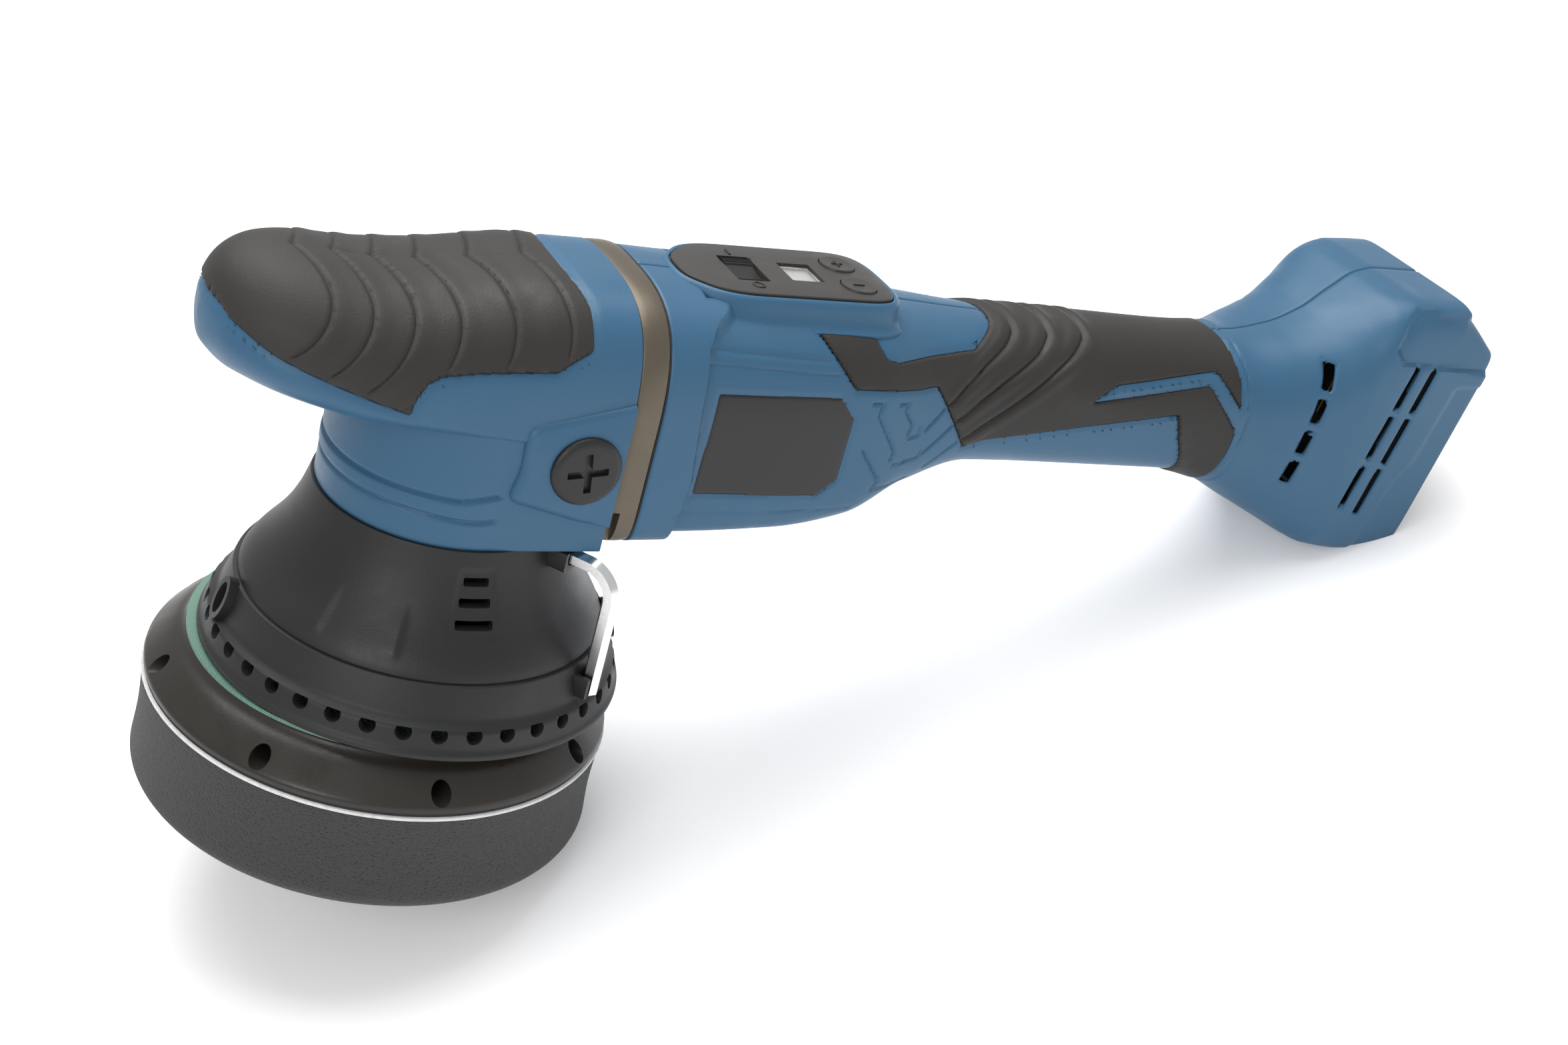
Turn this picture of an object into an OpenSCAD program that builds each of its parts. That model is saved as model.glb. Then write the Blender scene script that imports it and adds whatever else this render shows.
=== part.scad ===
// Cordless dual action polisher. Millimetres. +Z runs up the spindle, +X from the head to the battery foot.
// The origin is on the drive spindle's axis, in the plane of the foam pad's working face.

/* [Pad] */
// Radius of the foam pad and the backing plate
pad_r = 75; // [62:1:80]
// Thickness of the foam
foam_t = 35; // [25:1:40]
// Eccentric offset of the pad's axis (half of the orbit)
orbit_off = 7.5; // [6:0.5:8]
// Direction of the offset at rest
orbit_deg = 157; // [0:1:360]
// Number of air holes round the backing plate
plate_holes = 8; // [6:1:12]

/* [Shroud] */
// Radius of the shroud's lower rim
rim_r = 68; // [66:1:72]
// Height of the shroud's lower rim
rim_z = 53.4; // [53:0.1:54]
// Number of holes in the shroud's rim
rim_holes = 38; // [20:1:40]

/* [Drive] */
// Height of the motor's axis
axis_z = 151; // [150:0.5:152]
// Teeth on the crown gear
crown_teeth = 36; // [36:12:48]
// Teeth on the motor's pinion
pinion_teeth = 12; // [10:1:12]
// Gear module at the pinion
gear_m = 1.25; // [1.2:0.05:1.25]

/* [Body] */
// Wall of the plastic shells
wall = 2.8; // [2:0.1:3.2]
// Half width of the head and of the gearbox flange
head_w = 41; // [40:0.5:42]
// Front face of the gearbox flange
flange_x = 38; // [38:0.5:39]
// Thickness of the gearbox flange
flange_t = 9.5; // [9:0.5:9.5]
// Points in a quarter of a body section
ring_q = 6; // [4:1:8]

/* [Controls] */
// Height of the control panel's face
panel_z = 191.6; // [191:0.1:192]
// Half width of the control panel
panel_w = 19; // [18:0.5:20]
// Radius of the speed buttons
button_r = 6; // [5:0.1:6]
// Tilt of the rocker switch at rest
rocker_tilt = 7; // [5:1:8]

/* [Hidden] */
$fn = 64;

pad_c = [orbit_off * cos(orbit_deg), orbit_off * sin(orbit_deg), 0];
run = 0.05;                      // radial clearance of a running fit
gap = 0.3;                       // clearance between parts that move past each other
hook_z = foam_t + 1.2;           // top of the pad's loop fabric
plate_z = hook_z + 1;            // underside of the backing plate
board_z = 51.5;                  // underside of the fibreglass disc
board_t = 1.3;
seam_z = 75;                     // seam between the shroud's band and its cover
neck_z = 111;                    // top of the cover, foot of the head
crown_z = axis_z - gear_m * pinion_teeth / 2;    // pitch plane of the crown gear
flange_end = flange_x + flange_t;
gasket_t = 0.5;
pod_z = panel_z - 3;             // underside of the panel's plate
pod_foot = 183.4;                // underside of the panel's frame
button_x = 122.7;
button_y = 8.3;
rocker_x = 84.5;
key_r = 5 / cos(30) / 2;          // across the corners of a 5 mm key
key_deg = -50;                   // where the key is stored round the shroud
key_ring = 64.2;                 // radius at which its long leg stands
key_bend = 10;
key_z = 107.6;                   // height of its short leg
slot_z = 151;                    // middle height of the foot's cooling slots
grip_t = 1.2;                    // how far the rubber grips stand proud

// A body section is [x, bottom z, middle z, top z, half width, top power, bottom power, lean].
// Lean is how far the section moves along x for each millimetre up.
HEAD = [[-84.5, 160, 166, 174, 6, 2, 2, 0], [-82, 156.5, 166, 181, 15, 2, 2, 0],
    [-77, 153, 165, 186, 23, 2.1, 2.1, 0], [-68, 151.5, 163, 189, 31, 2.2, 2.3, 0],
    [-55, 149, 160, 189, 37, 2.3, 2.5, 0], [-40, 147.5, 157, 187.5, 40, 2.4, 2.8, 0],
    [-20, 147, 154, 187.8, 41, 2.6, 3, 0], [0, 146, 151, 190.3, head_w, 2.8, 4, 0],
    [12, 134, 150, 191.5, head_w, 3, 6, 0], [flange_x, 111, 150, 191.3, head_w, 3, 9, 0]];
MOTOR = [[flange_end + gasket_t, 111, 150, 190.5, head_w, 3, 9, 0], [62, 111, 150, 189.5, 40, 3, 9, 0],
    [66, 112.5, 150, 186.5, 37.5, 3, 8, 0], [100, 113.5, 150, 186.5, 37, 3, 7, 0],
    [127, 116.5, 151, 186, 35.5, 2.8, 5, 0], [150, 124, 153, 184.5, 30.5, 2.4, 3, 0],
    [178, 130.5, 156, 183, 26.5, 2.2, 2.4, 0], [220, 129.5, 155.5, 182.3, 26, 2.2, 2.2, 0],
    [262, 128.5, 155, 181.3, 25.5, 2.2, 2.2, 0], [282, 125.5, 155, 182.5, 27.5, 2.2, 2.4, 0],
    [300, 118.5, 156, 187.5, 32.5, 2.6, 2.8, 0], [313, 113.8, 157, 193.3, 35, 2.8, 3.4, 0.02],
    [323, 111, 158, 203.5, 37, 3.4, 4, 0.07], [333, 109.4, 158, 209.2, 38, 4, 4.5, 0.14],
    [352, 108.6, 158, 209.6, 38, 4.5, 5, 0.177], [370, 111, 158, 197, 38, 5, 5, 0.177]];

function power(v, p) = sign(v) * pow(abs(v), p);
// Point of section s at angle a, measured from +Y towards +Z, moved in by t.
function ring_point(s, a, t) = let(
        up = sin(a) >= 0,
        n = up ? s[5] : s[6],
        h = (up ? s[3] - s[2] : s[2] - s[1]) - t,
        z = s[2] + h * power(sin(a), 2 / n))
    [s[0] + s[7] * (z - s[2]), (s[4] - t) * power(cos(a), 2 / n), z];

// A closed body through the sections, with its walls moved in by t.
module loft(sections, t = 0) {
    m = 4 * ring_q;
    last = len(sections) - 1;
    polyhedron(
        points = [for (s = sections) for (k = [0 : m - 1]) ring_point(s, k * 90 / ring_q, t)],
        faces = concat([[for (k = [0 : m - 1]) k]],
            [[for (k = [0 : m - 1]) last * m + m - 1 - k]],
            [for (i = [0 : last - 1]) for (k = [0 : m - 1])
                [i * m + k, (i + 1) * m + k, (i + 1) * m + (k + 1) % m, i * m + (k + 1) % m]]));
}

// A curved wall through the sections, from angle a0 to a1, between the offsets t_out and t_in.
module arc_wall(sections, a0, a1, t_out, t_in) {
    steps = ceil((a1 - a0) * ring_q / 90);
    m = 2 * steps + 2;
    last = len(sections) - 1;
    polyhedron(
        points = [for (s = sections) for (k = [0 : m - 1])
            k <= steps ? ring_point(s, a0 + (a1 - a0) * k / steps, t_out)
                : ring_point(s, a0 + (a1 - a0) * (m - 1 - k) / steps, t_in)],
        faces = concat(
            [for (k = [0 : steps - 1]) [k, k + 1, m - 2 - k, m - 1 - k]],
            [for (k = [0 : steps - 1])
                [last * m + k, last * m + m - 1 - k, last * m + m - 2 - k, last * m + k + 1]],
            [for (i = [0 : last - 1]) for (k = [0 : m - 1])
                [i * m + k, (i + 1) * m + k, (i + 1) * m + (k + 1) % m, i * m + (k + 1) % m]]));
}

// A cylinder along +X.
module rod_x(x, r, len) {
    translate([x, 0, axis_z]) rotate([0, 90, 0]) cylinder(r = r, h = len);
}

// A ring on the axis it is drawn on.
module ring(r_out, r_in, z, h) {
    rotate_extrude() translate([r_in, z]) square([r_out - r_in, h]);
}

// The inner ring of a ball bearing, with its groove.
module inner_ring(bore_r, out_r, z, h) {
    mid = (bore_r + out_r) / 2;
    ball = (out_r - bore_r) / 4;
    rotate_extrude() difference() {
        translate([bore_r, z]) square([mid - ball * 0.5 - bore_r, h]);
        translate([mid, z + h / 2]) circle(r = ball + run, $fn = 32);
    }
}

// The outer ring of a ball bearing, with its balls and seal.
module outer_ring(bore_r, out_r, z, h) {
    mid = (bore_r + out_r) / 2;
    ball = (out_r - bore_r) / 4;
    rotate_extrude() {
        translate([mid + ball * 0.5, z]) square([out_r - mid - ball * 0.5, h]);
        translate([mid - ball * 0.35, z + 0.3]) square([ball, 0.6]);
        translate([mid - ball * 0.35, z + h - 0.9]) square([ball, 0.6]);
    }
    count = floor(360 / (2.6 * asin(ball / mid)));
    for (k = [0 : count - 1]) rotate([0, 0, 360 * k / count]) translate([mid, 0, z + h / 2]) sphere(r = ball);
}

// ---- Pad and plate: they turn together about the eccentric axis ----

module foam_pad() {
    edge = 5;
    color([0.26, 0.26, 0.27]) translate(pad_c) rotate_extrude()
        polygon(concat([[0, 0]],
            [for (a = [-90 : 15 : 0]) [pad_r - edge + edge * cos(a), edge + edge * sin(a)]],
            [[pad_r, foam_t], [0, foam_t]]));
}

module pad_loop_fabric() {
    color([0.9, 0.9, 0.9]) translate(pad_c + [0, 0, foam_t]) cylinder(r = pad_r + 0.4, h = hook_z - foam_t);
}

module hook_disc() {
    color([0.15, 0.15, 0.15]) translate(pad_c) ring(pad_r - 0.6, 12.5, hook_z, plate_z - hook_z);
}

module backing_plate() {
    color([0.18, 0.17, 0.16]) translate(pad_c) difference() {
        rotate_extrude() polygon([[6.05, 44], [12, 44], [12, plate_z], [pad_r, plate_z], [pad_r, plate_z + 2],
            [71.5, 43], [67, 47.5], [62.5, board_z], [6.05, board_z]]);
        for (k = [0 : plate_holes - 1]) rotate([0, 0, 360 * k / plate_holes - 2])
            translate([54, 0, 42.9]) rotate([0, 90, 0]) cylinder(r = 3.2, h = 24);
    }
}

module fibreglass_disc() {
    color([0.49, 0.63, 0.57]) translate(pad_c) ring(63.5, 6.05, board_z, board_t);
}

module plate_bolt() {
    color("silver") translate(pad_c) difference() {
        union() {
            translate([0, 0, 38.6]) cylinder(r = 7, h = 5.4);
            translate([0, 0, 44]) cylinder(r = 4, h = 20);
        }
        translate([0, 0, 38]) cylinder(r = 3, h = 4, $fn = 6);
    }
}

module pad_spindle() {
    color("silver") translate(pad_c) difference() {
        union() {
            translate([0, 0, 44]) cylinder(r = 6, h = 9);
            translate([0, 0, board_z + board_t]) cylinder(r = 12, h = 4.2, $fn = 6);
            translate([0, 0, 57]) cylinder(r = 8, h = 5);
            translate([0, 0, 62]) cylinder(r = 6, h = 27);
        }
        translate([0, 0, 43]) cylinder(r = 4.02, h = 24);
        ring(6.5, 5.6, 87, 1.1);
    }
}

module bearing_circlip() {
    color("dimgray") translate(pad_c) difference() {
        ring(7.4, 5.62, 87.05, 1);
        translate([4, -1.2, 86]) cube([6, 2.4, 3]);
    }
}

module pad_bearing_inner_rings() {
    color("gainsboro") translate(pad_c) for (z = [62, 76.8]) inner_ring(6, 14, z, 10);
}

// ---- Eccentric: it turns about the spindle's axis and carries the pad's bearings ----

module pad_bearing_outer_rings() {
    color("gainsboro") translate(pad_c) for (z = [62, 76.8]) outer_ring(6, 14, z, 10);
}

module counterweight() {
    color([0.35, 0.35, 0.36]) difference() {
        union() {
            translate(pad_c + [0, 0, 60.5]) cylinder(r = 18.5, h = 31.5);
            translate([0, 0, 92]) cylinder(r = 26, h = 5);
            rotate([0, 0, orbit_deg + 180]) intersection() {
                ring(50, 22, 64, 14);
                translate([0, -40, 60]) cube([60, 80, 40]);
            }
            rotate([0, 0, orbit_deg + 180]) translate([8, -14, 64]) cube([18, 28, 31]);
        }
        translate(pad_c + [0, 0, 60]) cylinder(r = 14, h = 30);
        for (k = [0 : 2]) rotate([0, 0, 120 * k + 30]) translate([20, 0, 91]) cylinder(r = 2.1, h = 8);
    }
}

module output_spindle() {
    color("silver") {
        translate([0, 0, 97]) cylinder(r = 13, h = 4);
        translate([0, 0, 101]) cylinder(r = 8.5, h = 15);
        translate([0, 0, 116]) cylinder(r = 7.5, h = 28);
        translate([0, 0, 144]) cylinder(r = 5, h = 14);
    }
}

// Crown gear: straight radial teeth stand on a disc, and the pinion rolls in the gap at +X.
module crown_gear() {
    root_z = crown_z - gear_m - 0.25;
    tooth_h = 2 * gear_m + 0.25;
    color([0.55, 0.53, 0.5]) {
        ring(27, 7.5 + 0.02, root_z - 5, 5);
        ring(13, 7.5 + 0.02, root_z - 12, 7);
        for (k = [0 : crown_teeth - 1]) rotate([0, 0, 360 * (k + 0.5) / crown_teeth])
            translate([20.5, -0.55, root_z - 0.01]) cube([6.3, 1.1, tooth_h + 0.01]);
    }
}

module gear_nut() {
    color("dimgray") difference() {
        translate([0, 0, 125.5]) cylinder(r = 11, h = 3.6, $fn = 6);
        translate([0, 0, 125]) cylinder(r = 7.52, h = 5);
    }
}

module spindle_bearing_inner_rings() {
    color("gainsboro") {
        inner_ring(8.5, 17.5, 101.2, 12);
        inner_ring(5, 13, 147.5, 8);
    }
}

// ---- Head: castings, shroud and head shell ----

module spindle_bearing_outer_rings() {
    color("gainsboro") {
        outer_ring(8.5, 17.5, 101.2, 12);
        outer_ring(5, 13, 147.5, 8);
    }
}

// Cast case: a cup for the crown gear, a seat for each spindle bearing and a mouth for the motor's shaft.
module gear_case() {
    color([0.72, 0.72, 0.73]) difference() {
        union() {
            ring(22, 17.5, 99, 15);
            ring(36, 17.5, 113.4, 4);
            ring(36, 32, 117, 42);
            intersection() {
                translate([-14, -33, 147.5]) cube([28, 66, 8.5]);
                cylinder(r = 33, h = 170);
            }
            translate([30, -30, 120]) cube([flange_x - 30, 60, 58]);
        }
        translate([0, 0, 147]) cylinder(r = 13, h = 10);
        translate([10, -26, 124]) cube([30, 52, 50]);
        at_flange_screws(flange_x - 4) cylinder(r = 2.05, h = 6);
    }
}

module at_flange_screws(x) {
    for (y = [-27, 27]) for (z = [-22, 22]) translate([x, y, axis_z + z]) rotate([0, 90, 0]) children();
}

module flange_outline(t = 0) {
    // The flange follows the head's last section.
    polygon([for (k = [0 : 47]) let(p = ring_point(HEAD[9], k * 7.5, t)) [p[1], p[2]]]);
}

module flange_slab(x, thick, t = 0) {
    translate([x, 0, 0]) rotate([90, 0, 90]) linear_extrude(thick) flange_outline(t);
}

module gearbox_flange() {
    color([0.45, 0.4, 0.35]) difference() {
        flange_slab(flange_x, flange_t);
        rod_x(flange_x - 1, 9, 3);
        rod_x(flange_x + 2, 11, 10);
        for (a = [40, 140, 220, 320]) translate([flange_x - 1, 26 * cos(a), axis_z + 26 * sin(a)])
            rotate([0, 90, 0]) cylinder(r = 5, h = 12);
        at_flange_screws(flange_x - 1) cylinder(r = 2.1, h = 12);
        for (s = [-1, 1]) translate([flange_x - 1, s * 40.5 - 3, 110]) cube([4, 6, 16]);
    }
}

module flange_gasket() {
    color([0.2, 0.2, 0.2]) difference() {
        flange_slab(flange_end, gasket_t, 0.6);
        flange_slab(flange_end - 1, 3, 4);
    }
}

module flange_screws() {
    color("dimgray") at_flange_screws(flange_x - 3) {
        cylinder(r = 2, h = flange_t + 4);
        translate([0, 0, flange_t + 3]) cylinder(r = 3.6, h = 3);
    }
}

// Lower band of the shroud: a rim with a row of air holes, a step, and a cone up to the seam.
module shroud_band() {
    color([0.2, 0.2, 0.2]) {
        difference() {
            rotate_extrude() polygon([[rim_r - 3, rim_z], [rim_r, rim_z], [rim_r, rim_z + 1.8],
                [rim_r - 1.2, rim_z + 3], [rim_r - 2.4, 62.5], [64, 63.4], [62.8, 64.5], [59.6, seam_z],
                [56.8, seam_z], [60, 64], [62.4, 60]]);
            for (k = [0 : rim_holes - 1]) rotate([0, 0, 360 * k / rim_holes + 3.5])
                translate([58, 0, 61.2]) rotate([0, 90, 0]) intersection() {
                    cylinder(r = 2.6, h = 14, $fn = 24);
                    translate([-1.4, -3, -1]) cube([6, 6, 16]);
                }
            rotate([0, 0, key_deg]) translate([key_ring - 3.4, -3.3, seam_z - 10]) cube([8, 6.6, 12]);
        }
        for (s = [-1, 1]) rotate([0, 0, key_deg]) translate([59.5, s * 4.3 - 1, 65]) cube([6, 2, 7]);
        for (a = [178, 350]) rotate([0, 0, a]) translate([62.6, 0, 69]) rotate([0, 74, 0])
            difference() {
                scale([1.5, 1, 1]) cylinder(r = 5, h = 4, center = true);
                scale([1.5, 1, 1]) cylinder(r = 3, h = 6, center = true);
            }
    }
}

// Upper cover: one flowing cone with a vented window on each side and a hole for the stored key's short leg.
module shroud_cover() {
    color([0.22, 0.22, 0.22]) difference() {
        union() {
            rotate_extrude() polygon([[58.4, seam_z], [57.4, 78], [54.6, 82], [50.6, 87.5], [46.8, 94],
                [43.8, 101], [42, 107], [41.2, neck_z], [38.4, neck_z], [39.4, 106], [41.2, 100], [44.2, 93],
                [48, 86.5], [52, 81], [54.6, 78], [55.6, seam_z]]);
            rotate([0, 0, key_deg]) translate([39.5, -4.6, key_z - 4.6]) cube([9, 9.2, 6.8]);
        }
        for (side = [-92, 88]) for (k = [0 : 2]) rotate([0, 0, side])
            translate([38, -6 + k, 88.5 + 6 * k]) cube([20, 12 - 2 * k, 2.6]);
        rotate([0, 0, key_deg]) translate([36, 0, key_z]) rotate([0, 90, 0])
            cylinder(r = key_r + gap, h = 20);
    }
}

// Wrench for the plate's bolt: its long leg stands on the band's step, its short leg goes into the cover.
module hex_key() {
    color("silver") rotate([0, 0, key_deg]) {
        translate([key_ring, 0, seam_z - 9.5])
            cylinder(r = key_r, h = key_z - key_bend - seam_z + 9.5, $fn = 6);
        translate([key_ring - key_bend, 0, key_z - key_bend]) rotate([90, 0, 0]) rotate_extrude(angle = 90)
            translate([key_bend, 0]) circle(r = key_r, $fn = 6);
        translate([34, 0, key_z]) rotate([0, 90, 0])
            cylinder(r = key_r, h = key_ring - key_bend - 34, $fn = 6);
    }
}

module head_inner() {
    loft([for (i = [1 : 9]) HEAD[i] + [i == 9 ? 1 : wall / 2, 0, 0, 0, 0, 0, 0, 0]], wall);
    translate([0, 0, neck_z - 1]) cylinder(r = head_w - wall, h = 46);
    translate([0, wall - head_w, neck_z + wall]) cube([flange_x + 1, 2 * (head_w - wall), 42]);
}

module head_housing() {
    color([0.27, 0.44, 0.59]) difference() {
        union() {
            loft(HEAD);
            translate([0, 0, neck_z]) cylinder(r = head_w, h = 40);
            translate([0, -head_w, neck_z]) cube([flange_x, 2 * head_w, 40]);
            for (s = [0, 1]) mirror([0, s, 0]) translate([22, head_w, 140])
                rotate([-90, 0, 0]) cylinder(r = 14, h = 1.6);
        }
        head_inner();
        translate([flange_x, -50, neck_z - 1]) cube([20, 100, 90]);
        for (s = [0, 1]) mirror([0, s, 0]) translate([25.6, 30, 140.6])
            rotate([-90, 0, 0]) cylinder(r = 7.05, h = 20);
    }
}

module front_grip() {
    color([0.24, 0.23, 0.22]) difference() {
        arc_wall([for (i = [1 : 7]) HEAD[i]], 15, 165, -grip_t, 1);
        loft(HEAD);
    }
}

module plug() {
    color([0.13, 0.13, 0.13]) translate([25.6, 0, 140.6]) rotate([-90, 0, 0]) difference() {
        union() {
            translate([0, 0, head_w - 5]) cylinder(r = 7, h = 6.6);
            translate([0, 0, head_w + 1.6]) cylinder(r = 11.2, h = 2.4);
        }
        for (a = [0, 90]) rotate([0, 0, a]) translate([-7, -1.2, head_w + 2.4]) cube([14, 2.4, 3]);
    }
}

module left_plug() {
    plug();
}

module right_plug() {
    mirror([0, 1, 0]) plug();
}

// ---- Rotor: it turns about the motor's axis ----

module pinion() {
    r_pitch = gear_m * pinion_teeth / 2;
    color([0.6, 0.6, 0.6]) translate([21, 0, axis_z]) rotate([0, 90, 0]) difference() {
        union() {
            cylinder(r = r_pitch - gear_m * 1.2, h = 7);
            for (k = [0 : pinion_teeth - 1]) rotate([0, 0, 360 * k / pinion_teeth])
                translate([r_pitch - 2 * gear_m, -0.5, 0]) cube([3 * gear_m - 0.1, 1, 6]);
        }
        translate([0, 0, -1]) cylinder(r = 4, h = 9);
    }
}

module motor_shaft() {
    color("silver") rod_x(17, 4, 110);
}

module rotor_core() {
    color([0.4, 0.4, 0.42]) difference() {
        rod_x(73, 15, 38);
        rod_x(72, 4, 40);
    }
}

module cooling_fan() {
    color([0.15, 0.15, 0.15]) difference() {
        union() {
            rod_x(54, 8, 11);
            rod_x(63, 27, 1.5);
            for (k = [0 : 10]) translate([54.5, 0, axis_z]) rotate([360 * k / 11, 0, 0])
                translate([0, 7.5, -0.75]) cube([9, 19, 1.5]);
        }
        rod_x(53, 4, 14);
    }
}

module on_motor_axis(x) {
    translate([x, 0, axis_z]) rotate([0, 90, 0]) children();
}

module motor_bearing_inner_rings() {
    color("gainsboro") {
        on_motor_axis(40) inner_ring(4, 11, 0, 7);
        on_motor_axis(119) inner_ring(4, 11, 0, 7);
    }
}

module motor_bearing_outer_rings() {
    color("gainsboro") {
        on_motor_axis(40) outer_ring(4, 11, 0, 7);
        on_motor_axis(119) outer_ring(4, 11, 0, 7);
    }
}

module stator_core() {
    color([0.5, 0.5, 0.52]) difference() {
        union() {
            difference() {
                rod_x(75, 29, 34);
                rod_x(74, 25, 36);
            }
            for (k = [0 : 5]) translate([75, 0, axis_z]) rotate([60 * k, 0, 0]) {
                translate([0, -3, 16]) cube([34, 6, 10]);
                translate([0, -6, 16]) cube([34, 12, 2]);
            }
        }
        rod_x(74, 15.6, 36);
    }
}

module stator_windings() {
    color([0.72, 0.42, 0.2]) for (k = [0 : 5]) translate([71.5, 0, axis_z]) rotate([60 * k, 0, 0])
        difference() {
            translate([0, -5.6, 18.3]) cube([41, 11.2, 5.4]);
            translate([3.4, -3.1, 17]) cube([34.2, 6.2, 8]);
        }
}

module motor_can() {
    color([0.5, 0.5, 0.5]) {
        difference() {
            rod_x(67, 30.4, 60);
            rod_x(66, 29, 52);
            rod_x(116, 11, 10);
            rod_x(125, 6, 4);
            for (k = [0 : 5]) translate([117, 0, axis_z]) rotate([60 * k, 0, 0]) translate([0, 0, 20])
                rotate([0, 90, 0]) cylinder(r = 5, h = 12);
        }
    }
}

// ---- Clamshell: collar, motor housing, handle and battery foot, moulded in two halves ----

module housing_half() {
    difference() {
        arc_wall(MOTOR, -90, 90, 0, wall);
        pod_block(3, 170, 40);
        for (k = [-1.5 : 1.5]) translate([308 + k, 22, slot_z + 9 + 11.5 * k]) rotate([0, 6, 0])
            translate([-1.8, 0, -4.6]) cube([3.6, 22, 9.2]);
        for (x = [338, 346]) for (k = [-1 : 1]) translate([x + 3.7 * k, 26, slot_z + 7 + 21 * k])
            rotate([0, 10, 0]) translate([-1.3, 0, k == 0 ? -9 : -8]) cube([2.6, 20, k == 0 ? 18 : 16]);
    }
}

module housing_left() {
    color([0.27, 0.44, 0.59]) housing_half();
}

module housing_right() {
    color([0.25, 0.42, 0.57]) mirror([0, 1, 0]) housing_half();
}

module rear_grip() {
    color([0.24, 0.23, 0.22]) difference() {
        arc_wall([for (i = [5 : 9]) MOTOR[i]], -30, 210, -grip_t, 1);
        for (s = [0, 1]) mirror([0, s, 0]) arc_wall(MOTOR, -90, 90, 0, wall);
    }
}

module label_badge() {
    color([0.12, 0.12, 0.12]) translate([0, -37.4, 0]) rotate([90, 0, 0]) linear_extrude(0.6)
        polygon([[66.5, 131], [66.5, 167], [106, 167], [112, 160], [112, 137], [106, 131]]);
}

// ---- Control panel on top of the motor housing ----

// A block in the panel's outline, grown by a margin all round.
module pod_block(grow, z, h) {
    w = panel_w + grow;
    translate([0, 0, z]) linear_extrude(h) polygon([[61 - grow, 6 + grow / 2], [61 - grow, -6 - grow / 2],
        [72 - grow / 2, -w], [128 + grow / 2, -w], [134 + grow, -14 - grow / 2], [134 + grow, 14 + grow / 2],
        [128 + grow / 2, w], [72 - grow / 2, w]]);
}

module panel_frame() {
    color([0.27, 0.44, 0.59]) difference() {
        pod_block(3, pod_foot, panel_z - 0.8 - pod_foot);
        pod_block(0.2, pod_foot - 1, 20);
    }
}

module control_panel() {
    color([0.2, 0.2, 0.2]) difference() {
        pod_block(0, pod_z, 3);
        translate([rocker_x - 5.8, -9.3, pod_z - 1]) cube([11.6, 18.6, 6]);
        translate([99.3, -6.8, pod_z - 1]) cube([11.9, 13.6, 6]);
        for (s = [-1, 1]) translate([button_x, s * button_y, pod_z - 1]) cylinder(r = button_r + gap, h = 6);
    }
}

module rocker_switch() {
    color([0.1, 0.1, 0.1]) translate([rocker_x, 0, pod_z - 2]) rotate([rocker_tilt, 0, 0]) rotate([0, 90, 0])
        difference() {
            linear_extrude(10.6, center = true)
                polygon([[1.5, -6], [1.5, 6], [-3.4, 8.6], [-4.6, 8], [-3.2, 0], [-4.6, -8], [-3.4, -8.6]]);
            cylinder(r = 1, h = 20, center = true);
        }
}

module switch_body() {
    color([0.1, 0.1, 0.1]) {
        difference() {
            translate([rocker_x - 7.5, -11, 182.2]) cube([15, 22, pod_z - 182.2]);
            translate([rocker_x - 5.6, -9.4, 183.6]) cube([11.2, 18.8, 10]);
        }
        translate([rocker_x - 7, 0, pod_z - 2]) rotate([0, 90, 0]) cylinder(r = 0.95, h = 14);
    }
}

module display_window() {
    color([0.75, 0.75, 0.75]) translate([99.4, -6.7, pod_z + 0.6]) cube([11.7, 13.4, 1.2]);
}

module display_module() {
    color([0.85, 0.85, 0.85]) translate([98, -9, 184.6]) cube([14, 18, 3.6]);
}

module speed_button(y) {
    color([0.16, 0.16, 0.16]) translate([button_x, y, 0]) {
        translate([0, 0, pod_z - 1.3]) cylinder(r = button_r, h = 5);
        translate([0, 0, pod_z - 1.6]) cylinder(r = button_r + 1, h = 1.2);
    }
}

module plus_button() {
    speed_button(button_y);
}

module minus_button() {
    speed_button(-button_y);
}

module dome(y) {
    color([0.8, 0.8, 0.8]) translate([button_x, y, 184.6]) rotate_extrude()
        polygon([[0, 0], [4, 0], [4, 0.5], [2.4, pod_z - 186.2], [0, pod_z - 186.2]]);
}

module plus_dome() {
    dome(button_y);
}

module minus_dome() {
    dome(-button_y);
}

module panel_board() {
    color([0.1, 0.35, 0.2]) translate([94, -16, 183]) cube([37, 32, 1.6]);
}

// ---- Battery foot ----

module controller_board() {
    color([0.1, 0.35, 0.2]) {
        translate([190, -15, 140]) cube([80, 30, 1.6]);
        for (k = [0 : 2]) translate([198 + 22 * k, -6, 141.6]) cube([12, 12, 14]);
    }
}

// Slide plate: a leaning wall across the foot with two undercut rails for the battery.
module battery_plate() {
    color([0.14, 0.14, 0.14]) translate([346, 0, 158]) rotate([0, 10, 0]) {
        translate([-3, -33, -34]) cube([3, 66, 66]);
        for (s = [0, 1]) mirror([0, s, 0]) {
            translate([-0.01, 24, -34]) cube([10, 3, 62]);
            translate([7, 19, -34]) cube([3, 5.01, 62]);
        }
    }
}

module battery_terminals() {
    color([0.75, 0.6, 0.3]) translate([346, 0, 158]) rotate([0, 10, 0]) {
        for (y = [-12, -4, 4, 12]) translate([0, y - 0.4, -10]) cube([7, 0.8, 22]);
    }
}

module housing_screws() {
    color("dimgray") for (p = [[70, 118], [132, 123], [160, 136], [270, 135], [316, 180], [335, 122]])
        translate([p[0], 0, p[1]]) rotate([90, 0, 0]) cylinder(r = 1.6, h = 20, center = true);
}

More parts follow.
